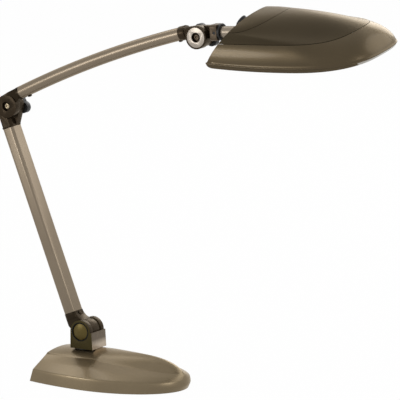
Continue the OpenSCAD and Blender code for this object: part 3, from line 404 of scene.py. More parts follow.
NECK = Finish(
    "neck_satin", (0.210, 0.172, 0.128), (0.320, 0.268, 0.208), 0.8, 0.36,
    Texture.DRAWN, spread=0.14, scale=900.0, relief=0.025,
)
STEEL = Finish(
    "plated_steel", (0.36, 0.36, 0.36), (0.55, 0.55, 0.54), 0.95, 0.3,
    Texture.DRAWN, spread=0.16, scale=900.0, relief=0.06,
)
BRASS = Finish(
    "turned_brass", (0.45, 0.31, 0.10), (0.62, 0.46, 0.18), 0.95, 0.28,
    Texture.TURNED, spread=0.12, scale=900.0, relief=0.06,
)
IRON = Finish(
    "cast_iron", (0.02, 0.02, 0.02), (0.05, 0.05, 0.05), 0.5, 0.6,
    Texture.GRAIN, spread=0.2, scale=400.0, relief=0.4,
)
RUBBER = Finish(
    "pad_rubber", (0.010, 0.010, 0.010), (0.022, 0.022, 0.022), 0.0, 0.8,
    Texture.GRAIN, spread=0.1, scale=1200.0, relief=0.3, specular=0.1,
)
WHITE = Finish(
    "white_sheet", (0.72, 0.72, 0.70), (0.86, 0.86, 0.84), 0.1, 0.35,
    Texture.GRAIN, spread=0.1, scale=900.0, relief=0.06,
)
# A pale finish laid on the bezel's nose as a painted highlight.
NOSE_HIGHLIGHT = Finish(
    "painted_nose_highlight", (0.36, 0.34, 0.30), (0.48, 0.46, 0.42), 0.0, 0.35,
    Texture.GRAIN, spread=0.1, scale=500.0, relief=0.1,
)
OPAL = Finish(
    "opal_moulding", (0.78, 0.77, 0.73), (0.88, 0.87, 0.84), 0.0, 0.4,
    Texture.GRAIN, spread=0.1, scale=500.0, relief=0.12,
)
GLASS = Finish(
    "coated_glass", (0.84, 0.85, 0.84), (0.92, 0.93, 0.92), 0.0, 0.12,
    Texture.GRAIN, spread=0.05, scale=300.0, relief=0.02,
)


class Palette:
    """Builds each finish once."""

    def __init__(self) -> None:
        """Start empty."""
        self.made: dict[str, bpy.types.Material] = {}

    def __getitem__(self, finish: Finish) -> bpy.types.Material:
        """Give the material of a finish, made at its first use.

        Args:
            finish: the finish.

        Returns:
            Its material.
        """
        if finish.name not in self.made:
            self.made[finish.name] = finish.build()
        return self.made[finish.name]


PALETTE = Palette()

# Lengths in metres and angles in degrees for welding, rounding and shading the meshes.
WELD = 0.00002
SLIVER = 0.000005
NODE_WELD = 0.00001
FLAT_ANGLE = 1.0
EDGE_ANGLE = 35.0
EDGE_STEPS = 3
MOULDING_ANGLE = 40.0
MOULDING_STEPS = 2
SHARP_ANGLE = 50.0


def dress(piece: bpy.types.Object, finish: Finish) -> None:
    """Give a piece one finish."""
    piece.data.materials.clear()
    piece.data.materials.append(PALETTE[finish])


def stand_in(piece: bpy.types.Object, node: str, finish: Finish, body: str) -> None:
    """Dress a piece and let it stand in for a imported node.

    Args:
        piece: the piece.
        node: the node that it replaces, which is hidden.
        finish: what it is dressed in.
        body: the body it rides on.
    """
    dress(piece, finish)
    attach(piece, body)
    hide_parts(node)
    SLOTS[node]
    LOG.info("%s: %d faces", piece.name, len(piece.data.polygons))


def linked(name: str, data: bpy.types.ID) -> bpy.types.Object:
    """Make an object and link it to the scene.

    Args:
        name: the object's name.
        data: its mesh, light or camera.

    Returns:
        The object.
    """
    made = bpy.data.objects.new(name, data)
    bpy.context.scene.collection.objects.link(made)
    return made


def smooth(mesh: bpy.types.Mesh) -> None:
    """Shade every face of a mesh smoothly."""
    for polygon in mesh.polygons:
        polygon.use_smooth = True


def solid(name: str, points: np.ndarray, faces: Sequence[Sequence[int]]) -> bpy.types.Object:
    """Make a mesh piece from points in metres.

    Args:
        name: the piece's name.
        points: one row a point.
        faces: point numbers of each face.

    Returns:
        The linked piece, welded, with its normals outward and smooth.
    """
    mesh = bpy.data.meshes.new(name)
    mesh.from_pydata([tuple(p) for p in points], [], [tuple(f) for f in faces])
    work = bmesh.new()
    work.from_mesh(mesh)
    bmesh.ops.remove_doubles(work, verts=work.verts, dist=WELD)
    bmesh.ops.dissolve_degenerate(work, edges=work.edges, dist=SLIVER)
    bmesh.ops.recalc_face_normals(work, faces=work.faces)
    work.to_mesh(mesh)
    work.free()
    smooth(mesh)
    return linked(name, mesh)


def round_edges(
    piece: bpy.types.Object, width: float, angle: float = EDGE_ANGLE, steps: int = EDGE_STEPS
) -> None:
    """Round a piece's sharp edges.

    Args:
        piece: the piece.
        width: width of the rounding in metres.
        angle: smallest angle that counts as an edge, degrees.
        steps: segments of the rounding.
    """
    bevel = piece.modifiers.new("rounding", "BEVEL")
    bevel.width = width
    bevel.segments = steps
    bevel.limit_method = "ANGLE"
    bevel.angle_limit = math.radians(angle)
    bevel.use_clamp_overlap = True
    bevel.harden_normals = True
    bevel.miter_outer = "MITER_ARC"


def rounded_node(node: str, finish: Finish, width: float, body: str) -> bpy.types.Object:
    """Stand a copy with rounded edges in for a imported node.

    Args:
        node: the node's name.
        finish: what it is dressed in.
        width: width of the rounding in metres, or 0 for a smooth piece without one.
        body: the body it rides on.

    Returns:
        The copy.
    """
    mesh = frame["nodes"][node].data.copy()
    work = bmesh.new()
    work.from_mesh(mesh)
    bmesh.ops.remove_doubles(work, verts=work.verts, dist=NODE_WELD)
    if width:
        flat = math.radians(FLAT_ANGLE)
        bmesh.ops.dissolve_limit(work, angle_limit=flat, verts=work.verts, edges=work.edges)
    work.to_mesh(mesh)
    work.free()
    smooth(mesh)
    piece = linked(node + "_rounded", mesh)
    if width:
        round_edges(piece, width)
    else:
        mesh.set_sharp_from_angle(angle=math.radians(EDGE_ANGLE))
    stand_in(piece, node, finish, body)
    return piece


class Level(NamedTuple):
    """One U-shaped outline in millimetres, with the powers of its plan and of its rise to the nose."""

    half: float
    side_z: float
    nose_x: float
    nose_z: float
    back_x: float
    back_half: float
    back_z: float
    wide_x: float
    plan: float
    rise: float


class SeamKey(NamedTuple):
    """Where an outline runs over the head: angles in degrees, widest place in millimetres, and powers."""

    side: float
    nose: float
    wide_x: float
    back_share: float
    plan: float
    rise: float


def outline(level: Level, stations: np.ndarray) -> np.ndarray:
    """Points of one U-shaped outline.

    Args:
        level: the outline's sizes.
        stations: from -1 at the near back corner to 1 at the far one.

    Returns:
        One point a station, in millimetres.
    """
    nose_share = 0.62
    away = np.abs(stations)
    turn = np.pi / 2 * np.minimum(away / nose_share, 1.0)
    past = np.maximum(away - nose_share, 0.0) / (1.0 - nose_share)
    ahead = np.where(away < nose_share, np.maximum(np.cos(turn), 0.0) ** (2 / level.plan), 0.0)
    aside = np.sin(turn) ** (2 / level.plan)
    x = level.wide_x + (level.nose_x - level.wide_x) * ahead + (level.back_x - level.wide_x) * past
    y = np.sign(stations) * (level.half * aside + (level.back_half - level.half) * past * past)
    rise = (level.nose_z - level.side_z) * ahead**level.rise
    z = level.side_z + rise + (level.back_z - level.side_z) * past * past
    return np.stack([x, y, z], -1)


def mix(a: float, b: float, share: float) -> float:
    """Blend two numbers."""
    return a + (b - a) * share


def shell(name: str, outer: np.ndarray, inner: np.ndarray, zipped: bool) -> bpy.types.Object:
    """Close two stacks of outlines into one wall.

    Args:
        name: the piece's name.
        outer: rows of points in metres, from the first edge to the last.
        inner: the same rows inside the wall.
        zipped: whether the last row closes on itself.

    Returns:
        The piece.
    """
    rows, columns = outer.shape[:2]
    wide = rows * columns
    faces: list[tuple[int, int, int, int]] = []

    def at(i: int, j: int) -> int:
        """Number of a point."""
        return i * columns + j

    for i in range(rows - 1):
        for j in range(columns - 1):
            quad = (at(i, j), at(i + 1, j), at(i + 1, j + 1), at(i, j + 1))
            faces.append(quad)
            faces.append(tuple(wide + k for k in reversed(quad)))
        for j in (0, columns - 1):
            faces.append((at(i, j), at(i + 1, j), wide + at(i + 1, j), wide + at(i, j)))
    for i in [0] if zipped else [0, rows - 1]:
        for j in range(columns - 1):
            faces.append((at(i, j), at(i, j + 1), wide + at(i, j + 1), wide + at(i, j)))
    points = np.concatenate([outer.reshape(-1, 3), inner.reshape(-1, 3)])
    return solid(name, points, faces)


@dataclass
class Pose:
    """Hinge points and angles of the lamp at rest, millimetres and degrees."""

    pivot_z: float = 82.6
    lower_lean: float = 21.83
    lower_len: float = 400.0
    upper_rise: float = 21.97
    upper_len: float = 404.0
    head_pitch: float = 5.0
    head_roll: float = 8.0
    neck_up: float = 7.0
    head_gap: float = 55.5
    neck_rise: float = 33.5

    def elbow(self) -> Vector:
        """Place of the elbow hinge."""
        lean = math.radians(self.lower_lean)
        return Vector((-self.lower_len * math.sin(lean), 0.0, self.pivot_z + self.lower_len * math.cos(lean)))

    def head_hinge(self) -> Vector:
        """Place of the head hinge."""
        rise = math.radians(self.upper_rise)
        return self.elbow() + self.upper_len * Vector((math.cos(rise), 0.0, math.sin(rise)))

    def shell_frame(self) -> np.ndarray:
        """Give the place of the head's shells.

        Returns:
            The matrix from the head's own millimetres to the frame's metres.
        """
        place = (
            Matrix.Scale(MM, 4)
            @ Matrix.Translation(self.head_hinge())
            @ Matrix.Rotation(math.radians(-self.head_pitch), 4, "Y")
            @ Matrix.Translation((0.0, 0.0, self.neck_up))
            @ Matrix.Rotation(math.radians(self.head_roll), 4, "X")
            @ Matrix.Translation((self.head_gap, 0.0, -self.neck_rise))
        )
        return np.array(place)


def moved(points: np.ndarray, place: np.ndarray) -> np.ndarray:
    """Carry points through a matrix."""
    return points @ place[:3, :3].T + place[:3, 3]


def curve_through(keys: np.ndarray, steps: int, pull: float = 0.32) -> np.ndarray:
    """Rows along smooth curves through key rows.

    Args:
        keys: key rows of points.
        steps: rows from each key to the next.
        pull: how much of the way between its neighbours a key's tangent takes.

    Returns:
        The key rows with rows between them.
    """
    padded = np.concatenate([keys[:1], keys, keys[-1:]])
    rows = []
    for i in range(len(keys) - 1):
        p0, p1, p2, p3 = padded[i : i + 4]
        m1, m2 = pull * (p2 - p0), pull * (p3 - p1)
        for k in range(steps):
            f = k / steps
            rows.append(
                (2 * f**3 - 3 * f**2 + 1) * p1 + (f**3 - 2 * f**2 + f) * m1
                + (3 * f**2 - 2 * f**3) * p2 + (f**3 - f**2) * m2
            )
    rows.append(keys[-1])
    return np.stack(rows)


def cut_round(piece: bpy.types.Object, radius: float, low: float, high: float, sides: int = 96) -> None:
    """Cut an upright round hole on the swivel's axis out of a piece.

    Args:
        piece: the piece, which gets the cut mesh.
        radius: of the hole, metres.
        low: height of its lower end, metres.
        high: height of its upper end, metres.
        sides: facets of the hole.
    """
    mesh = bpy.data.meshes.new("cutter")
    work = bmesh.new()
    bmesh.ops.create_cone(
        work, cap_ends=True, segments=sides, radius1=radius, radius2=radius, depth=high - low,
        matrix=Matrix.Translation((0.0, 0.0, (low + high) / 2)),
    )
    work.to_mesh(mesh)
    work.free()
    cutter = linked("cutter", mesh)
    boolean = piece.modifiers.new("hole", "BOOLEAN")
    boolean.operation = "DIFFERENCE"
    boolean.solver = "EXACT"
    boolean.object = cutter
    bpy.context.view_layer.update()
    cut = bpy.data.meshes.new_from_object(piece.evaluated_get(bpy.context.evaluated_depsgraph_get()))
    piece.modifiers.clear()
    piece.data = cut
    smooth(cut)
    bpy.data.objects.remove(cutter)


@dataclass
class BaseCover:
    """The moulded cover of the base, millimetres and degrees.

    A skirt, a shoulder and a slope lead up to a crown that runs out to the nose.
    """

    front: float = 195.0
    back: float = 66.0
    half: float = 91.0
    back_half: float = 77.0
    wide_x: float = 46.0
    foot_z: float = 1.0
    foot_tuck: float = 4.0
    skirt: float = 20.0
    skirt_nose: float = 9.5
    skirt_lip: float = 0.5
    skirt_draft: float = 2.0
    # Inset, height above the skirt, angle of the nose and power of the rise.
    shoulder: tuple[float, float, float, float] = (5.5, 3.5, 8.0, 1.5)
    slope: tuple[float, float, float, float] = (27.0, 14.5, 16.0, 0.85)
    # Inset and height above the skirt at the back.
    slope_back: tuple[float, float] = (21.0, 12.5)
    hood_half: float = 40.0
    hood: float = 42.5
    hood_step: float = 1.0
    hood_draft: float = 1.5
    crease_turn: float = 22.0
    crease_rise: float = 0.85
    crease_back_drop: float = 0.5
    edge_back_up: float = 1.5
    edge_turn: float = 1.0
    crown_rise: float = 10.5
    crown_back_rise: float = 4.0
    crown_top: float = 54.0
    crown_turn: float = 1.3
    dome_start: float = 92.0
    dome_power: float = 2.5
    wall: float = 3.0
    rake: float = 0.24
    plan: float = 2.0
    rise: float = 2.0
    seat_r: float = 21.4
    seat_z: float = 52.0
    bush_r: float = 10.4
    bush_z: float = 10.5
    sweep_r: float = 33.93
    sweep_z: float = 53.3
    edge: float = 0.6
    flank_steps: int = 7
    crown_steps: int = 28
    columns: int = 161

    def level(
        self, half: float, side: float, turn: float, t: float, back_half: float, back_z: float, rise: float
    ) -> Level:
        """One outline of the cover.

        Args:
            half: half width.
            side: height of the sides.
            turn: angle of the nose on the dome's profile, degrees.
            t: distance inside the outer face.
            back_half: half width at the back.
            back_z: height at the back.
            rise: how the height runs from the sides to the nose.

        Returns:
            The outline's level.
        """
        angle, power = math.radians(turn), 2.0 / self.dome_power
        nose_x = mix(self.dome_start, self.front + self.skirt_lip - t, max(math.cos(angle), 0.0) ** power)
        nose_z = mix(self.skirt_nose, self.crown_top, math.sin(angle) ** power) - t
        back_x = -self.back + self.rake * back_z
        return Level(half, side, nose_x, nose_z, back_x, back_half, back_z, self.wide_x, self.plan, rise)

    def flank(self, t: float) -> list[Level]:
        """Outlines from the foot to the crease.

        Args:
            t: distance inside the outer face.

        Returns:
            The outlines, from the lowest up.
        """
        half, back, skirt, hood = self.half - t, self.back_half - t, self.skirt - t, self.hood_half - t
        foot_front = self.front - self.foot_tuck - t
        foot_back = -self.back + self.rake * self.foot_z
        foot = Level(
            half, self.foot_z, foot_front, self.foot_z, foot_back, back, self.foot_z,
            self.wide_x, self.plan, self.rise,
        )
        inset, up, turn, rise = self.shoulder
        slope_in, slope_up, slope_turn, slope_rise = self.slope
        low = self.level(half - self.skirt_draft, skirt, 0.0, t, back - self.skirt_draft, skirt, self.rise)
        shoulder = self.level(half - inset, skirt + up, turn, t, back - inset, skirt + up, rise)
        slope = self.level(
            half - slope_in, skirt + slope_up, slope_turn, t,
            back - self.slope_back[0], skirt + self.slope_back[1], slope_rise,
        )
        crease_z = self.hood - t
        crease = self.level(
            hood, crease_z, self.crease_turn, t, hood, crease_z - self.crease_back_drop, self.crease_rise
        )
        return [foot, low, shoulder, slope, crease]

    def crown(self, t: float) -> list[Level]:
        """Outlines from the crease to the spine.

        Args:
            t: distance inside the outer face.

        Returns:
            The outlines, from the lowest up.
        """
        foot, edge = self.hood - t, self.hood_half - t - self.hood_draft
        levels = []
        for i in range(self.crown_steps + 1):
            f = i / self.crown_steps
            half, up = edge * (1.0 - f), 1.0 - (1.0 - f) ** 2
            turn = mix(self.crease_turn + self.edge_turn, 90.0, f**self.crown_turn)
            side = foot + self.hood_step + self.crown_rise * up
            back = foot + self.edge_back_up + self.crown_back_rise * up
            rise = mix(self.crease_rise, self.rise, f * f)
            levels.append(self.level(half, side, turn, t, half, back, rise))
        return levels

    def rows(self, t: float) -> np.ndarray:
        """Rows of points of the whole cover.

        Args:
            t: distance inside the outer face.

        Returns:
            Points by row and column, metres.
        """
        stations = np.linspace(-1.0, 1.0, self.columns)
        keys = np.stack([outline(v, stations) for v in self.flank(t)])
        crown = np.stack([outline(v, stations) for v in self.crown(t)])
        return np.concatenate([curve_through(keys, self.flank_steps), crown]) * MM

    def build(self) -> None:
        """Make the cover, cut the seats of the bush and the turret, and dress it."""
        piece = shell("base_cover", self.rows(0.0), self.rows(self.wall), True)
        top = (self.crown_top + self.crown_rise) * MM
        for radius, low in (
            (self.bush_r, self.bush_z), (self.seat_r, self.seat_z), (self.sweep_r, self.sweep_z)
        ):
            cut_round(piece, radius * MM, low * MM, top)
        round_edges(piece, self.edge * MM, MOULDING_ANGLE, MOULDING_STEPS)
        stand_in(piece, "base_shell", CHAMPAGNE, "base")


@dataclass
class Head:
    """The three nested shells of the head, its bezel and its diffuser, millimetres and degrees."""

    pose: Pose
    length: float = 290.0
    half: float = 95.0
    back_half: float = 87.0
    height: float = 70.0
    back_height: float = 70.0
    crown: float = 70.0
    rake: float = 0.83
    rim_drop: float = 2.5
    nose_rise: float = 1.5
    nose_tuck: float = 8.0
    bezel_h: float = 6.0
    bezel_gap: float = 0.4
    bezel_nose_z: float = -4.0
    bezel_back_x: float = 16.0
    bezel_back_z: float = -4.0
    bezel_steps: int = 12
    wall: float = 2.6
    bead_out: float = 1.0
    bead_h: float = 1.6
    # Shares along the bead: of bead_out outward, of bead_h upward and of bead_out upward.
    bead: tuple[tuple[float, float, float], ...] = (
        (0.55, 0.0, 0.0), (0.9, 0.25, 0.0), (1.0, 0.6, 0.0),
        (0.85, 1.0, 0.0), (0.4, 1.0, 0.6), (0.0, 1.0, 1.0),
    )
    seam: float = 0.8
    side_power: float = 2.58
    nose_power: float = 2.1
    crown_start: float = 80.0
    corner_back: float = 1.0
    corner_rise: float = 4.0
    back_curve: float = 1.25
    columns: int = 193
    steps: int = 20
    rim_skip: int = 2
    edge: float = 0.4
    shade_edge: float = 0.9
    # Where the painted highlight on the bezel's nose begins, millimetres along the head.
    nose_highlight_x: float = 275.0
    diffuser_t: float = 2.0
    diffuser_lift: float = 2.5
    diffuser_belly: float = 9.0
    diffuser_clear: float = 0.4
    diffuser_tip: float = 0.035
    diffuser_rows: int = 57
    diffuser_columns: int = 33
    rim_key: SeamKey = SeamKey(0.0, 0.0, 172.0, 0.0, 3.0, 1.6)
    outer_seam: SeamKey = SeamKey(25.8, 35.2, 155.0, 0.38, 2.3, 6.4)
    inner_seam: SeamKey = SeamKey(42.8, 82.3, 46.0, 1.0, 2.1, 2.0)
    spine_key: SeamKey = SeamKey(90.0, 90.0, 65.0, 1.0, 2.0, 2.0)

    def level(self, key: SeamKey, t: float, rim: bool = False, out: float = 0.0, up: float = 0.0) -> Level:
        """One outline of the head.

        Args:
            key: where it runs.
            t: distance inside the outer face.
            rim: whether it is the shade's edge, which has its own back corner.
            out: how far it stands out.
            up: how far it is lifted.

        Returns:
            The outline's level.
        """
        side, nose = math.radians(key.side), math.radians(key.nose)
        c = max(math.cos(side), 0.0) ** (2 / self.side_power)
        s = math.sin(side) ** (2 / self.side_power)
        cn = max(math.cos(nose), 0.0) ** (2 / self.nose_power)
        sn = math.sin(nose) ** (2 / self.nose_power)
        if rim:
            back_x, back_z = self.corner_back, self.corner_rise
        else:
            back_z = (self.back_height - t) * s
            back_x = self.rake * self.back_height * (back_z / self.back_height) ** self.back_curve
        back_half = (self.back_half - t) * c
        side_z = -self.rim_drop + (self.height - t + self.rim_drop) * s
        return Level(
            half=mix((self.half - t) * c, back_half, key.back_share) + out,
            side_z=mix(side_z, back_z, key.back_share) + up,
            nose_x=mix(self.crown_start, self.length - t, cn) + out,
            nose_z=mix(self.nose_rise, self.crown - t, sn) + up,
            back_x=back_x,
            back_half=back_half + out,
            back_z=back_z + up,
            wide_x=max(key.wide_x, back_x),
            plan=key.plan,
            rise=key.rise,
        )

    def rows(self, levels: Sequence[Level]) -> np.ndarray:
        """Points of some outlines in the frame, in metres."""
        stations = np.linspace(-1.0, 1.0, self.columns)
        return moved(np.stack([outline(v, stations) for v in levels]), self.pose.shell_frame())

    def between(self, first: SeamKey, last: SeamKey, t: float, skip: int = 0) -> list[Level]:
        """Outlines from one key to another.

        Args:
            first: where the first outline runs.
            last: where the last one runs.
            t: distance inside the outer face.
            skip: how many of the first outlines are left out.

        Returns:
            The outlines in order.
        """
        a, b = np.array(first), np.array(last)
        keys = [SeamKey(*(a + (b - a) * i / self.steps)) for i in range(skip, self.steps + 1)]
        return [self.level(key, t) for key in keys]

    def beside(self, key: SeamKey, way: float) -> SeamKey:
        """Move a seam's key by half the groove.

        Args:
            key: the seam's middle.
            way: -1 towards the rim, 1 towards the spine.

        Returns:
            The key of the groove's edge.
        """
        turn = self.seam / 2 / (self.height + self.rim_drop) * 180 / math.pi
        nose = self.seam / 2 / (self.length - self.crown_start) * 180 / math.pi
        nose_turn = nose / math.sin(math.radians(key.nose))
        return key._replace(side=key.side + way * turn, nose=key.nose + way * nose_turn)

    def rim(self, t: float) -> list[Level]:
        """Outlines of the bead along the shade's edge.

        Args:
            t: distance inside the outer face; only the outer face has the bead.

        Returns:
            The outlines, from the lowest up.
        """
        stand = 0.0 if t else self.bead_out
        return [
            self.level(self.rim_key, t, True, stand * out, self.bead_h * up + self.bead_out * over)
            for out, up, over in self.bead
        ]

    def bezel_foot(self, t: float) -> Level:
        """Lowest outline of the bezel.

        Args:
            t: distance inside the outer face.

        Returns:
            The outline's level.
        """
        inset = self.bead_out + t
        return Level(
            half=self.half - inset,
            side_z=-self.rim_drop - self.bezel_h,
            nose_x=self.length - self.nose_tuck - t,
            nose_z=self.bezel_nose_z,
            back_x=self.bezel_back_x,
            back_half=self.back_half - inset,
            back_z=self.bezel_back_z,
            wide_x=self.rim_key.wide_x,
            plan=self.rim_key.plan,
            rise=self.rim_key.rise,
        )

    def sheet(self, lift: float) -> np.ndarray:
        """Rows of the diffuser's sheet from the back to the nose.

        Args:
            lift: height above the lower face.

        Returns:
            Points by row and column, metres.
        """
        stations = np.linspace(1.0, self.diffuser_tip, self.diffuser_rows)
        edge = outline(self.bezel_foot(self.wall + self.diffuser_clear), stations)
        across = np.linspace(-1.0, 1.0, self.diffuser_columns)
        belly = self.diffuser_belly * np.sqrt(edge[:, 1] / self.half) * (1.0 - stations**4)
        height = edge[:, 2:] + self.diffuser_lift + lift - belly[:, None] * (1.0 - across**2)
        points = np.stack([edge[:, :1] + 0.0 * across, edge[:, 1:2] * across, height], -1)
        return moved(points, self.pose.shell_frame())

    def bezel_levels(self, t: float) -> list[Level]:
        """Outlines of the bezel, rolled in from the shade's edge to its foot.

        Args:
            t: distance inside the outer face.

        Returns:
            The outlines, from the foot up.
        """
        top = self.level(self.rim_key, t, True, -self.bead_out / 2, -self.bezel_gap)
        foot = self.bezel_foot(t)
        levels = []
        for i in range(self.bezel_steps + 1):
            a = math.pi / 2 * i / self.bezel_steps
            up, out = 1.0 - math.cos(a), math.sin(a)
            sizes = [
                mix(low, high, up if name.endswith("_z") else out)
                for name, low, high in zip(Level._fields, foot, top)
            ]
            levels.append(Level(*sizes))
        return levels

    def place(self, piece: bpy.types.Object, node: str, finish: Finish, width: float) -> None:
        """Round, dress and seat a piece of the head."""
        round_edges(piece, width * MM, MOULDING_ANGLE, MOULDING_STEPS)
        stand_in(piece, node, finish, "head")

    def paint_nose_highlight(self, piece: bpy.types.Object) -> None:
        """Paint a highlight on the bezel's nose: a pale finish on its faces at the nose.

        Args:
            piece: the bezel.
        """
        piece.data.materials.append(PALETTE[NOSE_HIGHLIGHT])
        back = np.linalg.inv(self.pose.shell_frame())
        for face in piece.data.polygons:
            if moved(np.array(face.center), back)[0] > self.nose_highlight_x:
                face.material_index = 1

    def build(self) -> None:
        """Make the shells, the bezel and the diffuser."""
        low, high = self.beside(self.outer_seam, -1.0), self.beside(self.outer_seam, 1.0)
        cap_low, cap_high = self.beside(self.inner_seam, -1.0), self.beside(self.inner_seam, 1.0)
        stacks: dict[str, tuple[Callable[[float], list[Level]], bool, Finish, float]] = {
            "shade": (
                lambda t: self.rim(t) + self.between(self.rim_key, low, t, self.rim_skip),
                False, PEWTER, self.shade_edge,
            ),
            # The upper panels take the darker pewter: painted shade.
            "shade_panel": (lambda t: self.between(high, cap_low, t), False, SHADED_PANEL, self.edge),
            "rear_cap": (lambda t: self.between(cap_high, self.spine_key, t), True, SHADED_PANEL, self.edge),
            "lens_bezel": (self.bezel_levels, False, PEWTER, self.edge),
        }
        for node, (levels, zipped, finish, edge) in stacks.items():
            piece = shell(node + "_moulding", self.rows(levels(0.0)), self.rows(levels(self.wall)), zipped)
            self.place(piece, node, finish, edge)
            # The bezel's nose gets a painted highlight.
            if node == "lens_bezel":
                self.paint_nose_highlight(piece)
        sheet = shell("diffuser_moulding", self.sheet(self.diffuser_t), self.sheet(0.0), False)
        self.place(sheet, "diffuser", OPAL, self.edge)


def turned(
    name: str, profile: Sequence[tuple[float, float]], centre: Vector, ring: bool, steps: int = 72
) -> bpy.types.Object:
    """Turn a profile about a hinge's axis.

    Args:
        name: the piece's name.
        profile: radius and height along the axis, millimetres.
        centre: a point on the axis, millimetres.
        ring: whether the profile closes on itself.
        steps: facets round the axis.

    Returns:
        The piece.
    """
    rows = len(profile)
    turns = np.linspace(0.0, 2.0 * np.pi, steps, endpoint=False)
    radius, height = np.array(profile).T
    points = np.stack(
        [
            centre.x + np.outer(np.cos(turns), radius),
            centre.y + np.outer(np.ones(steps), height),
            centre.z + np.outer(np.sin(turns), radius),
        ],
        -1,
    )
    faces = []
    for i in range(steps):
        for j in range(rows if ring else rows - 1):
            k, after = (i + 1) % steps, (j + 1) % rows
            faces.append((i * rows + j, k * rows + j, k * rows + after, i * rows + after))
    return solid(name, points.reshape(-1, 3) * MM, faces)


@dataclass
class Fasteners:
    """Bolts in the counterbores of the two drums, and the seals round the turret's caps, millimetres."""

    pose: Pose
    far: float = 20.5
    shank: float = 4.0
    seat: float = -12.0
    head: float = 5.0
    crown: float = -15.6
    socket: float = 2.3
    chamfer: float = 0.5
    # Inset from the head's side and depth below its crown, along the dome.
    dome: tuple[tuple[float, float], ...] = ((0.0, 1.3), (0.25, 0.7), (0.8, 0.25))
    # Width and depth of the socket's lip.
    socket_lip: tuple[float, float] = (0.5, 0.2)
    socket_wall: float = 1.6
    socket_floor: float = 1.9
    cheek_y: float = 22.0
    seal_in: float = 14.5
    seal_out: float = 16.1
    seal_h: float = 0.45
    seal_lip: float = 0.6
    seal_round: float = 0.3

    def bolt(self, node: str, centre: Vector, finish: Finish) -> None:
        """Make a bolt with a domed head and a round socket.

        Args:
            node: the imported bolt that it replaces.
            centre: its hinge, millimetres.
            finish: what it is dressed in.
        """
        lip_out, lip_in = self.socket_lip
        profile = [
            (0.0, self.far), (self.shank - self.chamfer, self.far), (self.shank, self.far - self.chamfer),
            (self.shank, self.seat), (self.head, self.seat),
            *((self.head - inward, self.crown + up) for inward, up in self.dome),
            (self.socket + lip_out, self.crown), (self.socket, self.crown + lip_in),
            (self.socket, self.crown + self.socket_wall), (0.0, self.crown + self.socket_floor),
        ]
        piece = turned(node + "_turned", profile, centre, False)
        piece.data.set_sharp_from_angle(angle=math.radians(SHARP_ANGLE))
        stand_in(piece, node, finish, "upper_arm")

    def seal(self, name: str, side: float) -> None:
        """Make the dark seal round one cap.

        Args:
            name: the seal's name.
            side: -1 on the near cheek, 1 on the far one.
        """
        low, high = side * self.cheek_y, side * (self.cheek_y + self.seal_h)
        lip = side * (self.cheek_y + self.seal_h * self.seal_lip)
        profile = [
            (self.seal_in, low), (self.seal_in, lip), (self.seal_in + self.seal_round, high),
            (self.seal_out - self.seal_round, high), (self.seal_out, lip), (self.seal_out, low),
        ]
        piece = turned(name, profile, Vector((0.0, 0.0, self.pose.pivot_z)), True)
        dress(piece, RUBBER)
        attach(piece, "turret")
        SLOTS["non_slip_pad"]
        LOG.info("%s turned", name)

    def build(self) -> None:
        """Make the bolts and the seals."""
        self.bolt("elbow_bolt", self.pose.elbow(), GILT)
        self.bolt("head_bolt", self.pose.head_hinge(), BROWN)
        self.seal("near_cap_seal", -1.0)
        self.seal("far_cap_seal", 1.0)


@dataclass
class ArchedTube:
    """The upper arm's round tube, bent to a shallow arch, millimetres."""

    pose: Pose
    gap: float = 27.0
    offset: float = 14.5
    sag: float = 8.0
    radius: float = 11.0
    wall: float = 1.6
    rows: int = 97
    sides: int = 72

    def layer(self, radius: float) -> np.ndarray:
        """Give the points of one surface of the tube.

        Args:
            radius: of the surface about the arch.

        Returns:
            Points by row and side, metres.
        """
        chord = self.pose.upper_len - 2.0 * self.gap
        bend = (chord * chord / 4.0 + self.sag * self.sag) / (2.0 * self.sag)
        half = math.asin(chord / 2.0 / bend)
        along = np.linspace(-half, half, self.rows)[:, None]
        turns = np.linspace(0.0, 2.0 * np.pi, self.sides, endpoint=False)[None, :]
        reach = bend + radius * np.cos(turns)
        x = self.pose.upper_len / 2.0 + reach * np.sin(along)
        z = self.offset + self.sag - bend + reach * np.cos(along)
        y = np.broadcast_to(radius * np.sin(turns), x.shape)
        rise = math.radians(self.pose.upper_rise)
        elbow = self.pose.elbow()
        return np.stack(
            [
                elbow.x + x * math.cos(rise) - z * math.sin(rise),
                y,
                elbow.z + x * math.sin(rise) + z * math.cos(rise),
            ],
            -1,
        ) * MM

    def build(self) -> None:
        """Make the tube with its bore."""
        points = np.concatenate([self.layer(self.radius), self.layer(self.radius - self.wall)[::-1]])
        total, faces = 2 * self.rows, []
        for i in range(total):
            for j in range(self.sides):
                k, after = (i + 1) % total, (j + 1) % self.sides
                corners = ((i, j), (k, j), (k, after), (i, after))
                faces.append([row * self.sides + side for row, side in corners])
        piece = solid("upper_tube_arched", points.reshape(-1, 3), faces)
        piece.data.set_sharp_from_angle(angle=math.radians(SHARP_ANGLE))
        stand_in(piece, "upper_tube", TUBE, "upper_arm")


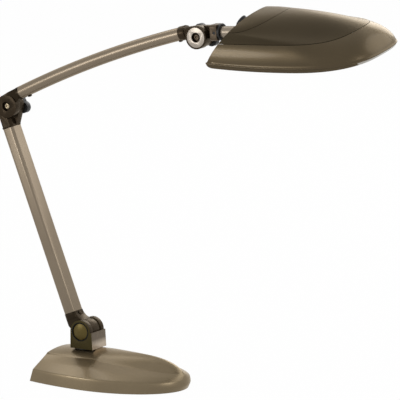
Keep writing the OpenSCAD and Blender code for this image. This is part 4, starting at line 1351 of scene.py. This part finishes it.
@dataclass
class Castings:
    """Rounded copies of the machined and moulded pieces of the arms, joints and turret.

    Each row holds a node, its finish, the width of its rounding in metres and its body.
    """

    square: float = 0.7
    turret_edge: float = 0.0012
    pieces: tuple[tuple[str, Finish, float, str], ...] = (
        ("pivot_caps", CAP, 0.0004, "turret"),
        ("lower_knuckle", BRONZE, 0.0010, "lower_arm"),
        ("lower_tube", TUBE, 0.0004, "lower_arm"),
        ("lower_elbow_fitting", BRONZE, 0.0010, "lower_arm"),
        ("upper_elbow_fitting", BRONZE, 0.0012, "upper_arm"),
        ("upper_head_fitting", BRONZE, 0.0012, "upper_arm"),
        ("joint_disc", SATIN, 0.0006, "upper_arm"),
        ("elbow_knob", BLACK, 0.0016, "elbow_knob"),
        ("head_knob", BLACK, 0.0016, "head_knob"),
        ("neck_bracket", BROWN, 0.0010, "neck"),
        ("neck_collar", BLACK, 0.0008, "neck"),
        ("neck_tube", NECK, 0.0, "head"),
        ("dimmer_knob", BLACK, 0.0008, "dimmer_knob"),
        ("swivel_bush", BLACK, 0.0004, "base"),
        ("cord_inlet", BLACK, 0.0006, "base"),
    )

    def turret(self) -> None:
        """Make the turret: olive sides, a brushed front wall with painted shade towards its top, and dark
        rims.
        """
        piece = rounded_node("turret_housing", BRONZE, self.turret_edge, "turret")
        for finish in (CHEEK, WALL):
            piece.data.materials.append(PALETTE[finish])
        for face in piece.data.polygons:
            if abs(face.normal.y) > self.square:
                face.material_index = 1
            elif face.normal.x > self.square and face.center.z < WALL_TOP:
                face.material_index = 2

    def build(self) -> None:
        """Make each copy."""
        self.turret()
        for node, finish, width, body in self.pieces:
            rounded_node(node, finish, width, body)


@dataclass
class Hardware:
    """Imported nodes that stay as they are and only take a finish."""

    finishes: tuple[tuple[Finish, tuple[str, ...]], ...] = (
        (CHAMPAGNE, ("base_rear_panel",)),
        (BRONZE, ("rear_wall", "tube_screws", "lower_arm_screws")),
        (RUBBER, ("non_slip_pad",)),
        (IRON, ("base_weight",)),
        (BRASS, ("elbow_knob_insert", "head_knob_insert")),
        (WHITE, ("reflector", "head_chassis")),
        (OPAL, ("lamp_holder", "lamp_cap")),
        (GLASS, ("lamp_tubes",)),
        (
            BLACK,
            (
                "pivot_washers", "lower_wire", "upper_wire", "elbow_washer", "head_washer", "neck_wire",
                "shade_posts", "dimmer", "neck_set_screw", "base_plate",
            ),
        ),
        (
            STEEL,
            (
                "ballast", "base_screws", "swivel_post", "swivel_spring_washer", "swivel_nut",
                "pivot_bolt", "pivot_nut", "elbow_spring_washer", "head_spring_washer",
                "neck_clamp", "clamp_screws", "dimmer_nut",
            ),
        ),
    )

    def build(self) -> None:
        """Dress each node."""
        for finish, nodes in self.finishes:
            for node in nodes:
                dress(frame["nodes"][node], finish)
                LOG.info("%s dressed", node)


@dataclass(frozen=True)
class Lamp:
    """One soft disc of light, metres and watts."""

    name: str
    place: Point
    size: float
    power: float
    aim: Point

    def build(self) -> None:
        """Hang the light and turn it to its aim."""
        data = bpy.data.lights.new(self.name, "AREA")
        data.shape = "DISK"
        data.size = self.size
        data.energy = self.power
        light = linked(self.name, data)
        light.location = self.place
        light.rotation_euler = (Vector(self.place) - Vector(self.aim)).to_track_quat("Z", "Y").to_euler()
        LOG.info("%s light: %g W", self.name, self.power)


MIDDLE: Point = (0.2, 0.0, 0.4)
FOOT: Point = (0.04, 0.0, 0.03)


@dataclass
class Studio:
    """Floor, light and camera, metres and degrees; the lens and the sensor in millimetres."""

    azimuth: float = 31.5
    elevation: float = 11.3
    distance: float = 10.0
    lens: float = 540.0
    sensor: float = 36.0
    clip: float = 60.0
    target: Point = (0.20431, 0.03130, 0.32157)
    white: Rgb = (1.0, 1.0, 1.0)
    soft: Rgb = (1.0, 0.98, 0.95)
    soft_strength: float = 0.45
    floor_grey: Rgb = (0.8, 0.8, 0.8)
    floor_reach: float = 12.0
    whiteness: float = 0.985
    lamps: tuple[Lamp, ...] = (
        Lamp("back", (-0.3, 2.7, 1.5), 1.6, 17.0, MIDDLE),
        Lamp("right", (1.5, 1.5, 1.7), 2.0, 15.0, MIDDLE),
        Lamp("front", (2.2, -0.4, 0.9), 1.2, 10.0, MIDDLE),
        Lamp("fill", (-1.3, -2.0, 0.75), 0.8, 13.0, MIDDLE),
        Lamp("overhead", (-1.1, 0.5, 1.85), 0.8, 3.2, FOOT),
    )

    def back(self) -> Vector:
        """Direction from the lamp to the camera."""
        a, e = math.radians(self.azimuth), math.radians(self.elevation)
        return Vector((math.sin(a) * math.cos(e), -math.cos(a) * math.cos(e), math.sin(e)))

    def camera(self) -> None:
        """Set the camera at the photograph's angle."""
        data = bpy.data.cameras.new("camera")
        data.lens = self.lens
        data.sensor_width = self.sensor
        data.clip_end = self.clip
        camera = linked("camera", data)
        camera.location = Vector(self.target) + self.distance * self.back()
        camera.rotation_euler = self.back().to_track_quat("Z", "Y").to_euler()
        bpy.context.scene.camera = camera

    def seen(self, graph: Graph) -> Wave:
        """Give 1 for camera, glossy and transmission rays and 0 for the others.

        Args:
            graph: where the nodes go.

        Returns:
            The sum of the three kinds.
        """
        path = graph.node("ShaderNodeLightPath", {}, {})
        seen = Wave(graph, path.outputs["Is Camera Ray"]) + Wave(graph, path.outputs["Is Glossy Ray"])
        return seen + Wave(graph, path.outputs["Is Transmission Ray"])

    def world(self) -> None:
        """White surroundings for the camera and reflections, soft grey light for the rest."""
        world = bpy.data.worlds.new("studio")
        bpy.context.scene.world = world
        world.use_nodes = True
        graph = Graph(world.node_tree)
        seen = self.seen(graph)
        white = graph.node("ShaderNodeBackground", {}, {"Color": (*self.white, 1.0), "Strength": 1.0})
        soft = graph.node(
            "ShaderNodeBackground", {}, {"Color": (*self.soft, 1.0), "Strength": self.soft_strength}
        )
        both = graph.node("ShaderNodeMixShader", {}, {0: seen, 1: soft.outputs[0], 2: white.outputs[0]})
        graph.node("ShaderNodeOutputWorld", {}, {"Surface": both.outputs[0]})

    def floor(self) -> None:
        """A plain pale floor that keeps a faint shadow."""
        mesh = bpy.data.meshes.new("floor")
        reach = self.floor_reach
        corners = [(-reach, -reach, 0.0), (reach, -reach, 0.0), (reach, reach, 0.0), (-reach, reach, 0.0)]
        mesh.from_pydata(corners, [], [(0, 1, 2, 3)])
        floor = linked("floor", mesh)
        material = bpy.data.materials.new("pale_floor")
        material.use_nodes = True
        graph = Graph(material.node_tree)
        seen = self.seen(graph) * self.whiteness
        matt = graph.node("ShaderNodeBsdfDiffuse", {}, {"Color": (*self.floor_grey, 1.0)})
        white = graph.node("ShaderNodeEmission", {}, {"Color": (*self.white, 1.0), "Strength": 1.0})
        both = graph.node("ShaderNodeMixShader", {}, {0: seen, 1: matt.outputs[0], 2: white.outputs[0]})
        graph.close(both.outputs[0])
        mesh.materials.append(material)

    def build(self) -> None:
        """Set the whole studio up."""
        self.camera()
        self.world()
        self.floor()
        for lamp in self.lamps:
            lamp.build()
        bpy.context.scene.view_settings.view_transform = "Standard"


def main() -> None:
    """Build the lamp's looks in order and note the sizes."""
    logging.basicConfig(level=logging.INFO, format="%(name)s: %(message)s")
    Studio().build()
    BaseCover().build()
    Castings().build()
    Fasteners(Pose()).build()
    ArchedTube(Pose()).build()
    Head(Pose()).build()
    Hardware().build()


if __name__ == "__main__":
    main()
